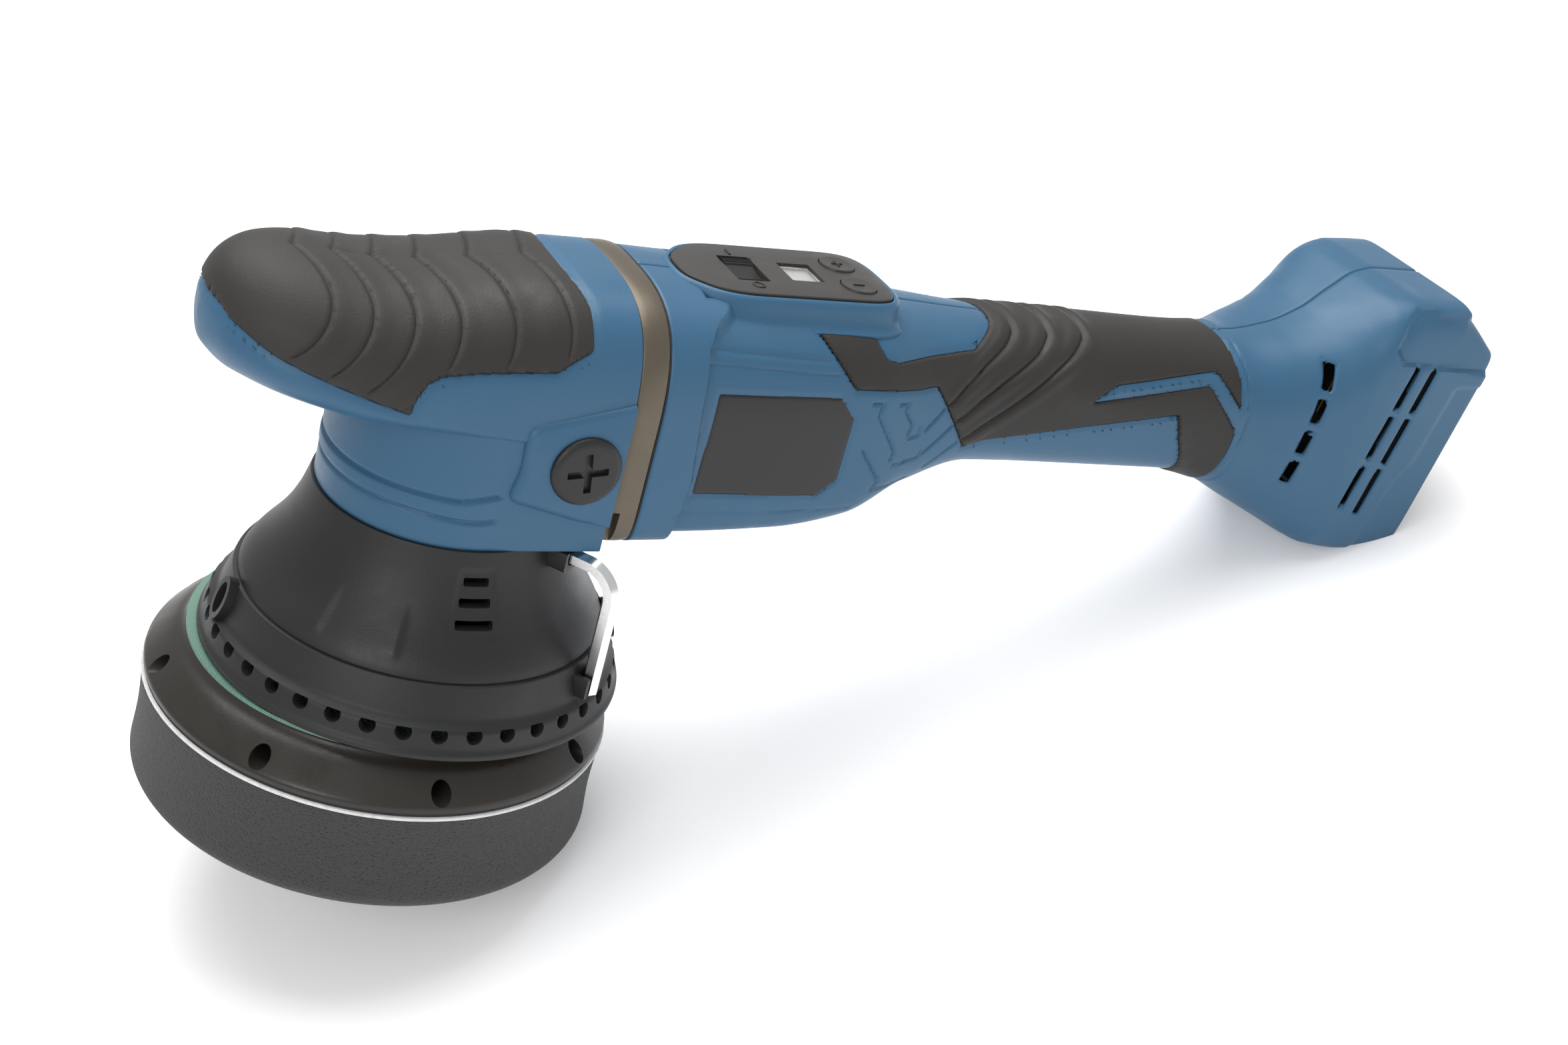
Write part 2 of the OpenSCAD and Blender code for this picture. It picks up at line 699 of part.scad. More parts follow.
foam_pad();
pad_loop_fabric();
hook_disc();
backing_plate();
fibreglass_disc();
plate_bolt();
pad_spindle();
pad_bearing_inner_rings();
pad_bearing_outer_rings();
bearing_circlip();
counterweight();
output_spindle();
crown_gear();
gear_nut();
spindle_bearing_inner_rings();
spindle_bearing_outer_rings();
gear_case();
gearbox_flange();
flange_gasket();
flange_screws();
shroud_band();
shroud_cover();
hex_key();
head_housing();
front_grip();
left_plug();
right_plug();
pinion();
motor_shaft();
rotor_core();
cooling_fan();
motor_bearing_inner_rings();
motor_bearing_outer_rings();
stator_core();
stator_windings();
motor_can();
housing_left();
housing_right();
rear_grip();
label_badge();
control_panel();
panel_frame();
rocker_switch();
switch_body();
display_window();
display_module();
plus_button();
minus_button();
plus_dome();
minus_dome();
panel_board();
controller_board();
battery_plate();
battery_terminals();
housing_screws();
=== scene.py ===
import math
import bmesh
import bpy
import numpy as np
from mathutils import Matrix, Vector


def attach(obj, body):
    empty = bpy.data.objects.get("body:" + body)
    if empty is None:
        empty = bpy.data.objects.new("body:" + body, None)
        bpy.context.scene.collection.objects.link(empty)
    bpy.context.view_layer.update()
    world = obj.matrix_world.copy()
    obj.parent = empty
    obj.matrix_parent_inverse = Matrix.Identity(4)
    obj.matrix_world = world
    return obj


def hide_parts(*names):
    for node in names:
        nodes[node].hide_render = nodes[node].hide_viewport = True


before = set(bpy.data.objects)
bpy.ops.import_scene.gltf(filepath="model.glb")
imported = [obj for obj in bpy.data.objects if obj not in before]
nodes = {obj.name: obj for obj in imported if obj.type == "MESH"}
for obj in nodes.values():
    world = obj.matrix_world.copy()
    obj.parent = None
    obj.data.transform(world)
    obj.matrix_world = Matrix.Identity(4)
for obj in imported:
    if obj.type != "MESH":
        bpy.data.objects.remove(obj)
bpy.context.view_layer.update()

# ---- Camera: high on the right-hand side of the polisher, rolled so that it lies across the picture ----
# It stands about 0.8 m away and looks at the middle of the motor housing.
azimuth, elevation, roll = math.radians(-32.4), math.radians(25.5), math.radians(15.95)
look_at = Vector((0.120, -0.0084, 0.1042))
away = Vector((math.sin(azimuth) * math.cos(elevation), -math.cos(azimuth) * math.cos(elevation),
               math.sin(elevation)))
level_right = Vector((math.cos(azimuth), math.sin(azimuth), 0))
level_up = away.cross(level_right)
right = math.cos(roll) * level_right + math.sin(roll) * level_up
up = math.cos(roll) * level_up - math.sin(roll) * level_right
camera_data = bpy.data.cameras.new("camera")
camera_data.lens = 53.57
camera = bpy.data.objects.new("camera", camera_data)
camera.matrix_world = Matrix((right, up, away)).transposed().to_4x4()
camera.location = look_at + 0.786 * away
bpy.context.scene.collection.objects.link(camera)
bpy.context.scene.camera = camera

# ---- Floor and lights: a pale table top, where the polisher rests on its pad's edge and its foot ----
# The table leans with the resting polisher, because the frame's +Z runs up the spindle.
lean = math.radians(22)
table_normal = Vector((-math.sin(lean), 0, math.cos(lean)))
table_point = Vector((0.0685, 0, -0.0012))
floor_mesh = bpy.data.meshes.new("floor")
side = Vector((0, 1, 0))
slope = side.cross(table_normal)
corners = [table_point + 3 * (a * slope + b * side) for a, b in ((-1, -1), (1, -1), (1, 1), (-1, 1))]
floor_mesh.from_pydata(corners, [], [(0, 1, 2, 3)])
floor = bpy.data.objects.new("floor", floor_mesh)
bpy.context.scene.collection.objects.link(floor)
paper = bpy.data.materials.new("white_paper")
paper.use_nodes = True
shader = paper.node_tree.nodes["Principled BSDF"]
shader.inputs["Base Color"].default_value = (0.92, 0.92, 0.93, 1)
shader.inputs["Roughness"].default_value = 0.9
shader.inputs["Emission Color"].default_value = (1, 1, 1, 1)
shader.inputs["Emission Strength"].default_value = 0.16
see_through = paper.node_tree.nodes.new("ShaderNodeBsdfTransparent")
facing = paper.node_tree.nodes.new("ShaderNodeNewGeometry")
either = paper.node_tree.nodes.new("ShaderNodeMixShader")
paper.node_tree.links.new(facing.outputs["Backfacing"], either.inputs["Fac"])
paper.node_tree.links.new(shader.outputs["BSDF"], either.inputs[1])
paper.node_tree.links.new(see_through.outputs["BSDF"], either.inputs[2])
paper_surface = paper.node_tree.nodes["Material Output"].inputs["Surface"]
paper.node_tree.links.new(either.outputs["Shader"], paper_surface)
floor_mesh.materials.append(paper)

world = bpy.data.worlds.new("studio")
world.use_nodes = True
bpy.context.scene.world = world
background = world.node_tree.nodes["Background"]
background.inputs["Color"].default_value = (1, 1, 1, 1)
background.inputs["Strength"].default_value = 0.62


def soft_light(name, place, aim, size, watts):
    """A square area light at one point that faces another."""
    data = bpy.data.lights.new(name, "AREA")
    data.size, data.energy = size, watts
    lamp = bpy.data.objects.new(name, data)
    lamp.location = place
    lamp.rotation_euler = (Vector(aim) - Vector(place)).to_track_quat("-Z", "Y").to_euler()
    bpy.context.scene.collection.objects.link(lamp)


soft_light("overhead", (-0.15, 0.35, 1.15), (0.13, 0, 0.12), 1.1, 18)
soft_light("window", (-0.85, -0.85, 0.55), (0.05, 0, 0.08), 0.7, 5)
bpy.context.scene.view_settings.view_transform = "Standard"

# ---- Foam pad: a round polishing pad of black open-cell foam ----
# It is cut from a block, so its sides show the cells, and its working edge is rounded by the cutter.
# White loop fabric is glued on its back and shows as a thin bright line.


def skin(name, points, faces, materials, body, weld=1e-6):
    """One piece from arrays of points and faces: it rides on its body, with creases sharper than 35 degrees.
    Points closer than the weld distance, in metres, become one."""
    mesh = bpy.data.meshes.new(name)
    mesh.from_pydata(np.asarray(points).tolist(), [], np.asarray(faces).tolist())
    tidy = bmesh.new()
    tidy.from_mesh(mesh)
    bmesh.ops.remove_doubles(tidy, verts=tidy.verts, dist=weld)
    bmesh.ops.dissolve_degenerate(tidy, edges=tidy.edges, dist=1e-7)
    tidy.to_mesh(mesh)
    tidy.free()
    mesh.shade_smooth()
    mesh.set_sharp_from_angle(angle=math.radians(35))
    for material in materials:
        mesh.materials.append(material)
    piece = bpy.data.objects.new(name, mesh)
    bpy.context.scene.collection.objects.link(piece)
    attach(piece, body)
    return piece


def grid_faces(rows, columns, closed=False):
    """The quads between neighbouring rows and columns of a grid, or of a tube if its rows are closed."""
    across = columns if closed else columns - 1
    i, j = np.meshgrid(np.arange(rows - 1), np.arange(across), indexing="ij")
    k = (j + 1) % columns
    return np.stack([i * columns + j, i * columns + k, (i + 1) * columns + k, (i + 1) * columns + j],
                    axis=-1).reshape(-1, 4)


def rounded(corners, radius, steps=4):
    """A closed outline with its corners rounded: each corner becomes a quadratic curve that starts and ends
    the radius, or 45 % of the side if that is less, away from it."""
    corners = np.asarray(corners, float)
    radii = np.broadcast_to(radius, len(corners))
    outline = []
    for before, corner, after, r in zip(np.roll(corners, 1, 0), corners, np.roll(corners, -1, 0), radii):
        legs = [before - corner, after - corner]
        start, end = [corner + leg * min(r / np.linalg.norm(leg), 0.45) for leg in legs]
        if r > 0:
            outline += [(1 - t) ** 2 * start + 2 * t * (1 - t) * corner + t ** 2 * end
                        for t in np.linspace(0, 1, steps + 1)]
        else:
            outline.append(corner)
    return np.array(outline)


def turned(name, outline, steps, centre, materials, body):
    """A closed outline of radius and height, in millimetres, turned about a vertical axis at the centre."""
    outline = np.asarray(outline, float)
    angle = np.radians(np.linspace(0, 360, steps, endpoint=False))[:, None]
    points = np.stack([centre[0] + outline[:, 0] * np.cos(angle), centre[1] + outline[:, 0] * np.sin(angle),
                       outline[:, 1] + 0 * angle], axis=-1).reshape(-1, 3) / 1000
    i = np.arange(len(outline))
    j = (i + 1) % len(outline)
    last = (steps - 1) * len(outline)
    faces = np.concatenate([grid_faces(steps, len(outline), closed=True),
                            np.stack([last + i, last + j, j, i], axis=-1)])
    piece = skin(name, points, faces, materials, body)
    face_outwards(piece)
    return piece


def face_outwards(piece):
    """Turns the faces of a closed mesh outwards."""
    work = bmesh.new()
    work.from_mesh(piece.data)
    bmesh.ops.recalc_face_normals(work, faces=work.faces)
    work.to_mesh(piece.data)
    work.free()


class Finish:
    """A material under construction: its Principled shader, and short ways to add nodes to it."""

    def __init__(self, name, colour, roughness, metallic=0.0):
        self.material = bpy.data.materials.new(name)
        self.material.use_nodes = True
        self.material.diffuse_color = (*colour, 1)
        self.tree = self.material.node_tree
        self.shader = self.tree.nodes["Principled BSDF"]
        self.colour = colour
        self.shader.inputs["Base Color"].default_value = (*colour, 1)
        self.shader.inputs["Roughness"].default_value = roughness
        self.shader.inputs["Metallic"].default_value = metallic

    def group(self, tree, **values):
        """Places a node group with its own values."""
        node = self.tree.nodes.new("ShaderNodeGroup")
        node.node_tree = tree
        for socket, value in values.items():
            node.inputs[socket.replace("_", " ")].default_value = value
        return node

    def node(self, kind, **values):
        """Adds a node and sets its properties, or its inputs where a name has a capital letter."""
        node = self.tree.nodes.new("ShaderNode" + kind)
        for key, value in values.items():
            if key[0].isupper():
                node.inputs[key.replace("_", " ")].default_value = value
            else:
                setattr(node, key, value)
        return node

    def join(self, source, target):
        self.tree.links.new(source, target)

    def blend(self, mask, darkest, lightest):
        """Base Color runs from one tone of the material's colour to another as the mask goes from 0 to 1."""
        mix = self.node("Mix", data_type="RGBA")
        mix.inputs["A"].default_value = (*[min(1, c * darkest) for c in self.colour], 1)
        mix.inputs["B"].default_value = (*[min(1, c * lightest) for c in self.colour], 1)
        self.join(mask, mix.inputs["Factor"])
        self.join(mix.outputs["Result"], self.shader.inputs["Base Color"])
        return mix

    def sheen_range(self, mask, smooth, rough):
        """Roughness runs between two values as the mask goes from 0 to 1."""
        span = self.node("MapRange", To_Min=smooth, To_Max=rough)
        self.join(mask, span.inputs["Value"])
        self.join(span.outputs["Result"], self.shader.inputs["Roughness"])

    def bump(self, height, depth, strength=1.0):
        """Height from 0 to 1 becomes relief of that depth in metres."""
        node = self.node("Bump", Distance=depth, Strength=strength)
        self.join(height, node.inputs["Height"])
        self.join(node.outputs["Normal"], self.shader.inputs["Normal"])


def new_group(name, inputs, outputs):
    """An empty shader node group, its input node and its output node."""
    tree = bpy.data.node_groups.new(name, "ShaderNodeTree")
    for label, value in inputs.items():
        socket = tree.interface.new_socket(label, in_out="INPUT", socket_type="NodeSocketFloat")
        socket.default_value = value
    for label in outputs:
        tree.interface.new_socket(label, in_out="OUTPUT", socket_type="NodeSocketFloat")
    return tree, tree.nodes.new("NodeGroupInput"), tree.nodes.new("NodeGroupOutput")


def chain(tree, kind, feeds, **values):
    """Adds a node to a group, with its inputs fed by sockets or set to values."""
    node = tree.nodes.new("ShaderNode" + kind)
    for key, value in values.items():
        if key[0].isupper():
            node.inputs[key.replace("_", " ")].default_value = value
        else:
            setattr(node, key, value)
    for socket, source in feeds.items():
        tree.links.new(source, node.inputs[socket])
    return node


# Open cells: rounded pores at two sizes. Height is low in a pore, and Pore Shade is 1 at its bottom, where
# the foam's colour is darkened as painted shade.
open_cells, given, result = new_group("open_cells", {"Scale": 900.0}, ["Height", "Pore Shade"])
place = open_cells.nodes.new("ShaderNodeTexCoord")
big = chain(open_cells, "TexVoronoi", {"Vector": place.outputs["Object"], "Scale": given.outputs["Scale"]})
twice = chain(open_cells, "Math", {0: given.outputs["Scale"]}, operation="MULTIPLY")
twice.inputs[1].default_value = 2.3
small = chain(open_cells, "TexVoronoi", {"Vector": place.outputs["Object"], "Scale": twice.outputs[0]})
both = chain(open_cells, "Math", {0: big.outputs["Distance"], 1: small.outputs["Distance"]},
             operation="MULTIPLY")
wall = chain(open_cells, "MapRange", {"Value": both.outputs[0]}, From_Min=0.02, From_Max=0.3)
pore_shade = chain(open_cells, "MapRange", {"Value": both.outputs[0]}, From_Min=0.02, From_Max=0.16, To_Min=1.0,
             To_Max=0.0)
open_cells.links.new(wall.outputs["Result"], result.inputs["Height"])
open_cells.links.new(pore_shade.outputs["Result"], result.inputs["Pore Shade"])

foam = Finish("foam", (0.034, 0.034, 0.034), 0.95)
cells = foam.group(open_cells, Scale=900.0)
# The pores' bottoms are painted darker: this is painted shade in the cells, not a darker foam.
foam.blend(cells.outputs["Pore Shade"], 1.25, 0.45)
foam.bump(cells.outputs["Height"], 0.0004, 0.7)
foam.shader.inputs["Sheen Weight"].default_value = 0.10
foam.shader.inputs["Specular IOR Level"].default_value = 0.3
foam.shader.inputs["Sheen Roughness"].default_value = 0.6

pad_centre = (-6.904, 2.930)
pad_radius, pad_thickness, pad_edge = 75.0, 35.0, 6.0
edge = [(pad_radius - pad_edge + pad_edge * math.sin(a), pad_edge - pad_edge * math.cos(a))
        for a in np.linspace(0, math.pi / 2, 10)]
side_wall = [(pad_radius - 0.7 * math.sin(math.pi * t), pad_edge + (pad_thickness - 0.3 - pad_edge) * t)
             for t in np.linspace(0.08, 1, 14)]
face = [(r, 0.0) for r in (0.0, 12.0, 24.0, 36.0, 48.0, 60.0)]
back = [(r, pad_thickness) for r in (74.2, 60.0, 40.0, 20.0, 0.0)]
foam_pad = turned("polishing_pad", face + edge + side_wall + back, 288, pad_centre, [foam.material], "pad")
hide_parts("foam_pad")

# The loop fabric is a disc of white brushed nylon, a little larger than the foam and frayed at its cut edge.
fibres, given, result = new_group("fibres", {"Scale": 1500.0}, ["Height", "Tone"])
place = fibres.nodes.new("ShaderNodeTexCoord")
tangle = chain(fibres, "TexNoise", {"Vector": place.outputs["Object"], "Scale": given.outputs["Scale"]},
               Detail=4.0, Roughness=0.7)
clumps = chain(fibres, "TexNoise", {"Vector": place.outputs["Object"]}, Scale=420.0, Detail=2.0)
fibres.links.new(tangle.outputs["Fac"], result.inputs["Height"])
fibres.links.new(clumps.outputs["Fac"], result.inputs["Tone"])
loops = Finish("loop_fabric", (0.80, 0.80, 0.80), 0.95)
nap = loops.group(fibres, Scale=1800.0)
loops.blend(nap.outputs["Tone"], 0.72, 1.1)
loops.bump(nap.outputs["Height"], 0.0004)
fabric_outline = [(0, 35.0), (74.4, 35.0), (75.25, 35.15), (75.45, 35.6), (75.2, 36.05), (74.5, 36.2),
                  (0, 36.2)]
fabric = turned("loop_fabric", fabric_outline, 288, pad_centre, [loops.material], "pad")
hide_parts("pad_loop_fabric")

# ---- Backing plate: a moulded urethane disc that spins with the pad ----
# It is black, softly shiny and scuffed, with eight air holes bored into its shoulder. The hook tape is bonded
# under it, and a green glass-fibre disc stiffens its back.


def combine(piece, other, operation):
    """Cuts, joins or intersects two closed pieces exactly, and removes the second."""
    change = piece.modifiers.new("combine", "BOOLEAN")
    change.operation, change.solver, change.object = operation, "EXACT", other
    bpy.context.view_layer.update()
    result_mesh = bpy.data.meshes.new_from_object(piece.evaluated_get(bpy.context.evaluated_depsgraph_get()))
    piece.modifiers.clear()
    piece.data = result_mesh
    result_mesh.name = piece.name
    bpy.data.objects.remove(other)
    result_mesh.shade_smooth()
    result_mesh.set_sharp_from_angle(angle=math.radians(35))


def solid(points, faces):
    """A closed helper shape in millimetres, to cut or join with."""
    mesh = bpy.data.meshes.new("tool")
    mesh.from_pydata((np.asarray(points) / 1000).tolist(), [], np.asarray(faces, dtype=object).tolist())
    tool = bpy.data.objects.new("tool", mesh)
    bpy.context.scene.collection.objects.link(tool)
    face_outwards(tool)
    return tool


def prisms(outline, frames, low, high):
    """Closed prisms: one flat outline carried from low to high along the third axis of each frame.
    A frame is a place and three directions, in rows."""
    outline = np.asarray(outline, float)
    count = len(outline)
    points, faces = [], []
    for place, first, second, third in frames:
        base = np.asarray(place) + outline[:, :1] * np.asarray(first) + outline[:, 1:] * np.asarray(second)
        start = 2 * count * (len(points) // 2)
        points += [base + low * np.asarray(third), base + high * np.asarray(third)]
        faces += [[start + k, start + (k + 1) % count, start + count + (k + 1) % count, start + count + k]
                  for k in range(count)]
        faces += [list(range(start, start + count)), list(range(start + count, start + 2 * count))]
    mesh_faces = np.empty(len(faces), object)
    mesh_faces[:] = faces
    return solid(np.concatenate(points), mesh_faces)


def ring_of_points(radius, count=32):
    """A circle about the origin."""
    turn = 2 * np.pi * np.arange(count) / count
    return radius * np.stack([np.cos(turn), np.sin(turn)], axis=-1)


def radial_frame(angle, height, centre=(0, 0)):
    """A frame whose third axis points outwards from a vertical axis, at an angle in degrees and a height."""
    c, s = math.cos(math.radians(angle)), math.sin(math.radians(angle))
    return (centre[0], centre[1], height), (-s, c, 0), (0, 0, 1), (c, s, 0)


# Moulded surface: fine even grain, slow changes of tone, and rubbed patches that are a little smoother.
moulded, given, result = new_group("moulded_surface", {"Grain Scale": 2600.0, "Scuff Scale": 45.0},
                                   ["Grain", "Tone", "Scuff"])
place = moulded.nodes.new("ShaderNodeTexCoord")
grain = chain(moulded, "TexNoise", {"Vector": place.outputs["Object"], "Scale": given.outputs["Grain Scale"]},
              Detail=2.0)
tone = chain(moulded, "TexNoise", {"Vector": place.outputs["Object"]}, Scale=18.0, Detail=3.0)
rub = chain(moulded, "TexNoise", {"Vector": place.outputs["Object"], "Scale": given.outputs["Scuff Scale"]},
            Detail=6.0, Roughness=0.65, Distortion=0.6)
rubbed = chain(moulded, "MapRange", {"Value": rub.outputs["Fac"]}, From_Min=0.5, From_Max=0.72)
moulded.links.new(grain.outputs["Fac"], result.inputs["Grain"])
moulded.links.new(tone.outputs["Fac"], result.inputs["Tone"])
moulded.links.new(rubbed.outputs["Result"], result.inputs["Scuff"])


def moulded_finish(name, colour, smooth, rough, grain_scale, grain_depth, tones=(0.9, 1.1), scuff_scale=45.0):
    """A plastic or rubber: grain as relief, slow tone changes, and roughness that follows rubbed patches."""
    finish = Finish(name, colour, rough)
    surface = finish.group(moulded, Grain_Scale=grain_scale, Scuff_Scale=scuff_scale)
    finish.blend(surface.outputs["Tone"], *tones)
    finish.sheen_range(surface.outputs["Scuff"], rough, smooth)
    finish.bump(surface.outputs["Grain"], grain_depth)
    finish.shader.inputs["Specular IOR Level"].default_value = 0.38
    return finish


def dress(node, finish):
    """Gives a CAD node its finish."""
    for place_in_mesh in nodes[node].material_slots:
        place_in_mesh.material = finish.material


urethane = moulded_finish("plate_urethane", (0.019, 0.016, 0.013), 0.22, 0.40, 900.0, 0.00004, (0.75, 1.3),
                          30.0)
plate_outline = rounded([(6.05, 44), (12, 44), (12, 37.2), (74.7, 37.2), (75.0, 39.4), (72.2, 42.6),
                         (67.6, 47.4), (64.4, 49.6), (63.2, 51.5), (6.05, 51.5)],
                        [0, 0, 0, 0.3, 1.2, 2.5, 3, 1.5, 0.8, 0], 5)
plate = turned("backing_plate", plate_outline, 360, pad_centre, [urethane.material], "pad")
holes = [radial_frame(45 * k - 2, 42.9, pad_centre) for k in range(8)]
combine(plate, prisms(ring_of_points(3.2, 28), holes, 54, 90), "DIFFERENCE")
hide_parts("backing_plate")

# Hook tape: short stiff nylon hooks, matt black.
hooks = Finish("hook_tape", (0.02, 0.02, 0.021), 0.8)
pile = hooks.group(fibres, Scale=1400.0)
hooks.blend(pile.outputs["Tone"], 0.6, 1.6)
hooks.bump(pile.outputs["Height"], 0.0005)
dress("hook_disc", hooks)

# Glass-fibre disc: green resin over a fine square weave.
weave, given, result = new_group("weave", {"Scale": 900.0}, ["Height"])
place = weave.nodes.new("ShaderNodeTexCoord")
warp = chain(weave, "TexWave", {"Vector": place.outputs["Object"], "Scale": given.outputs["Scale"]},
             bands_direction="X")
weft = chain(weave, "TexWave", {"Vector": place.outputs["Object"], "Scale": given.outputs["Scale"]},
             bands_direction="Y")
cross = chain(weave, "Math", {0: warp.outputs["Fac"], 1: weft.outputs["Fac"]}, operation="MAXIMUM")
weave.links.new(cross.outputs[0], result.inputs["Height"])
resin = Finish("green_fibreglass", (0.120, 0.235, 0.180), 0.5)
threads = resin.group(weave, Scale=420.0)
resin.blend(threads.outputs["Height"], 0.82, 1.1)
resin.bump(threads.outputs["Height"], 0.00008)
dress("fibreglass_disc", resin)

# ---- Plate bolt, pad spindle, eccentric and drive: turned and ground steel, cast iron and bearings ----
# They are inside the shroud and the head. The bolt clamps the plate on the pad's spindle, which turns in the
# eccentric's bearings, and the eccentric hangs from the output spindle and its crown gear.
machined, given, result = new_group("machined_metal", {"Scale": 300.0, "Stretch": 12.0}, ["Marks", "Stain"])
place = machined.nodes.new("ShaderNodeTexCoord")
parts = chain(machined, "SeparateXYZ", {"Vector": place.outputs["Object"]})
squeeze = chain(machined, "Math", {0: parts.outputs["Z"], 1: given.outputs["Stretch"]}, operation="MULTIPLY")
longer = chain(machined, "CombineXYZ", {"X": parts.outputs["X"], "Y": parts.outputs["Y"],
                                        "Z": squeeze.outputs[0]})
marks = chain(machined, "TexNoise", {"Vector": longer.outputs["Vector"], "Scale": given.outputs["Scale"]},
              Detail=3.0)
stain = chain(machined, "TexNoise", {"Vector": place.outputs["Object"]}, Scale=55.0, Detail=5.0)
machined.links.new(marks.outputs["Fac"], result.inputs["Marks"])
machined.links.new(stain.outputs["Fac"], result.inputs["Stain"])


def metal_finish(name, colour, smooth, rough, scale=300.0, stretch=12.0, depth=0.00002, tones=(0.82, 1.08)):
    """A metal: fine machining marks as relief, and stains that change its tone and gloss."""
    finish = Finish(name, colour, rough, 1.0)
    surface = finish.group(machined, Scale=scale, Stretch=stretch)
    finish.blend(surface.outputs["Stain"], *tones)
    finish.sheen_range(surface.outputs["Stain"], smooth, rough)
    finish.bump(surface.outputs["Marks"], depth)
    return finish


zinc = metal_finish("zinc_plated_steel", (0.62, 0.62, 0.60), 0.25, 0.45)
ground = metal_finish("ground_steel", (0.66, 0.66, 0.66), 0.12, 0.28, 500.0, 20.0)
bearing_steel = metal_finish("bearing_steel", (0.72, 0.72, 0.72), 0.08, 0.2, 600.0, 24.0)
spring_steel = metal_finish("blued_spring_steel", (0.10, 0.10, 0.12), 0.3, 0.5)
cast_iron = metal_finish("cast_iron", (0.20, 0.20, 0.205), 0.45, 0.7, 160.0, 1.0, 0.00012, (0.6, 1.2))
gear_steel = metal_finish("hardened_gear_steel", (0.42, 0.40, 0.37), 0.2, 0.4)
dress("plate_bolt", zinc)
dress("gear_nut", zinc)
for steel in ("pad_spindle", "output_spindle", "motor_shaft"):
    dress(steel, ground)
for bearing in ("pad_bearing", "spindle_bearing", "motor_bearing"):
    dress(bearing + "_inner_rings", bearing_steel)
    dress(bearing + "_outer_rings", bearing_steel)
dress("bearing_circlip", spring_steel)
dress("counterweight", cast_iron)
dress("crown_gear", gear_steel)
dress("pinion", gear_steel)

# ---- Shroud band: the lower half of the air shroud, moulded in black glass-filled nylon ----
# Thirty-eight air holes, flat on top, run through its rim. Above them it steps in to a ledge, where the key
# stands in a notch between two fingers, and an oval loop stands at the front and at the back.
nylon = moulded_finish("black_nylon", (0.013, 0.013, 0.0135), 0.32, 0.48, 1500.0, 0.00005, (0.8, 1.35), 24.0)
band_outline = rounded([(65, 53.4), (68, 53.4), (68, 55.2), (66.9, 56.5), (65.7, 62.2), (64.2, 63.3),
                        (62.8, 64.5), (59.6, 75), (56.8, 75), (60, 64), (62.4, 60)],
                       [0.5, 0.8, 0.6, 0.9, 0.9, 0.6, 1.2, 0.5, 0.3, 1, 1], 4)
band = turned("shroud_band", band_outline, 360, (0, 0), [nylon.material], "housing")
hole_outline = ring_of_points(2.6, 24)
hole_outline[:, 1] = np.minimum(hole_outline[:, 1], 1.4)
rim_holes = [radial_frame(360 * k / 38 + 3.5, 61.2) for k in range(38)]
combine(band, prisms(hole_outline, rim_holes, 58, 72), "DIFFERENCE")
notch = [(-3.3, -10), (3.3, -10), (3.3, 3), (-3.3, 3)]
key_angle = -50
combine(band, prisms(notch, [radial_frame(key_angle, 75)], 60.8, 70), "DIFFERENCE")
for finger_side in (-1, 1):
    finger = rounded([(-1, -3.5), (1, -3.5), (1, 3.5), (-1, 3.5)], 0.4, 2) + (4.3 * finger_side, 0)
    combine(band, prisms(finger, [radial_frame(key_angle, 68.5)], 59.5, 65.5), "UNION")
for loop_angle in (178, 350):
    place, sideways, upwards, outwards = (np.array(v) for v in radial_frame(loop_angle, 69))
    leaning = (place + 62.6 * outwards, 0.276 * outwards - 0.961 * upwards, sideways,
               0.961 * outwards + 0.276 * upwards)
    loop = prisms(ring_of_points(1, 36) * (7.5, 5), [leaning], -1.6, 1.6)
    combine(loop, prisms(ring_of_points(1, 36) * (5.4, 3.1), [leaning], -3, 3), "DIFFERENCE")
    combine(band, loop, "UNION")
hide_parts("shroud_band")

# ---- Shroud cover: a flowing cone of black nylon that seals the shroud to the head ----
# Each side has three vent slots in a shallow sunk frame, and two short folds. A boss takes the key's short
# leg.


def ramp(value, low, high):
    """0 below low, 1 above high, and a smooth rise between."""
    t = np.clip((value - low) / (high - low), 0, 1)
    return t * t * (3 - 2 * t)


cover_outline = rounded([(58.4, 75), (57.6, 77.6), (55.2, 81.4), (50.6, 87.5), (46.8, 94), (43.9, 101),
                         (42.2, 107), (41.2, 111), (38.4, 111), (39.4, 106), (41.2, 100), (44.2, 93),
                         (48, 86.5), (52, 81), (54.6, 78), (55.6, 75)],
                        [0.4, 2, 4, 6, 6, 6, 5, 0.2, 0.2, 3, 3, 3, 3, 3, 1, 0.2], 4)


def spaced(outline, step):
    """The same closed outline with points added so that none are farther apart than the step."""
    points = []
    for a, b in zip(outline, np.roll(outline, -1, 0)):
        pieces = max(1, math.ceil(np.linalg.norm(b - a) / step))
        points += [a + (b - a) * k / pieces for k in range(pieces)]
    return np.array(points)


cover = turned("shroud_cover", spaced(cover_outline, 0.8), 360, (0, 0), [nylon.material], "housing")
where = np.array([v.co for v in cover.data.vertices]) * 1000
turn_at, radius_at = np.degrees(np.arctan2(where[:, 1], where[:, 0])), np.hypot(where[:, 0], where[:, 1])
push = np.zeros(len(where))
for side_angle in (-92, 88):
    off_side = np.abs((turn_at - side_angle + 180) % 360 - 180) * math.pi / 180 * radius_at
    half_frame = 8.2 - 0.16 * (where[:, 2] - 86)
    in_frame = np.minimum(half_frame - off_side, np.minimum(where[:, 2] - 86.2, 105.6 - where[:, 2]))
    push -= 0.6 * ramp(in_frame, -0.4, 0.5)
for rib_angle in (-143, -117, 37, 63):
    off_rib = ((turn_at - rib_angle + 180) % 360 - 180) * math.pi / 180 * radius_at
    push += (0.9 * np.exp(-np.abs(off_rib / np.where(off_rib > 0, 0.9, 4.5)) ** 1.6)
             * ramp(where[:, 2], 78, 82) * (1 - ramp(where[:, 2], 86, 95)))
where[:, :2] *= (1 + push / radius_at)[:, None]
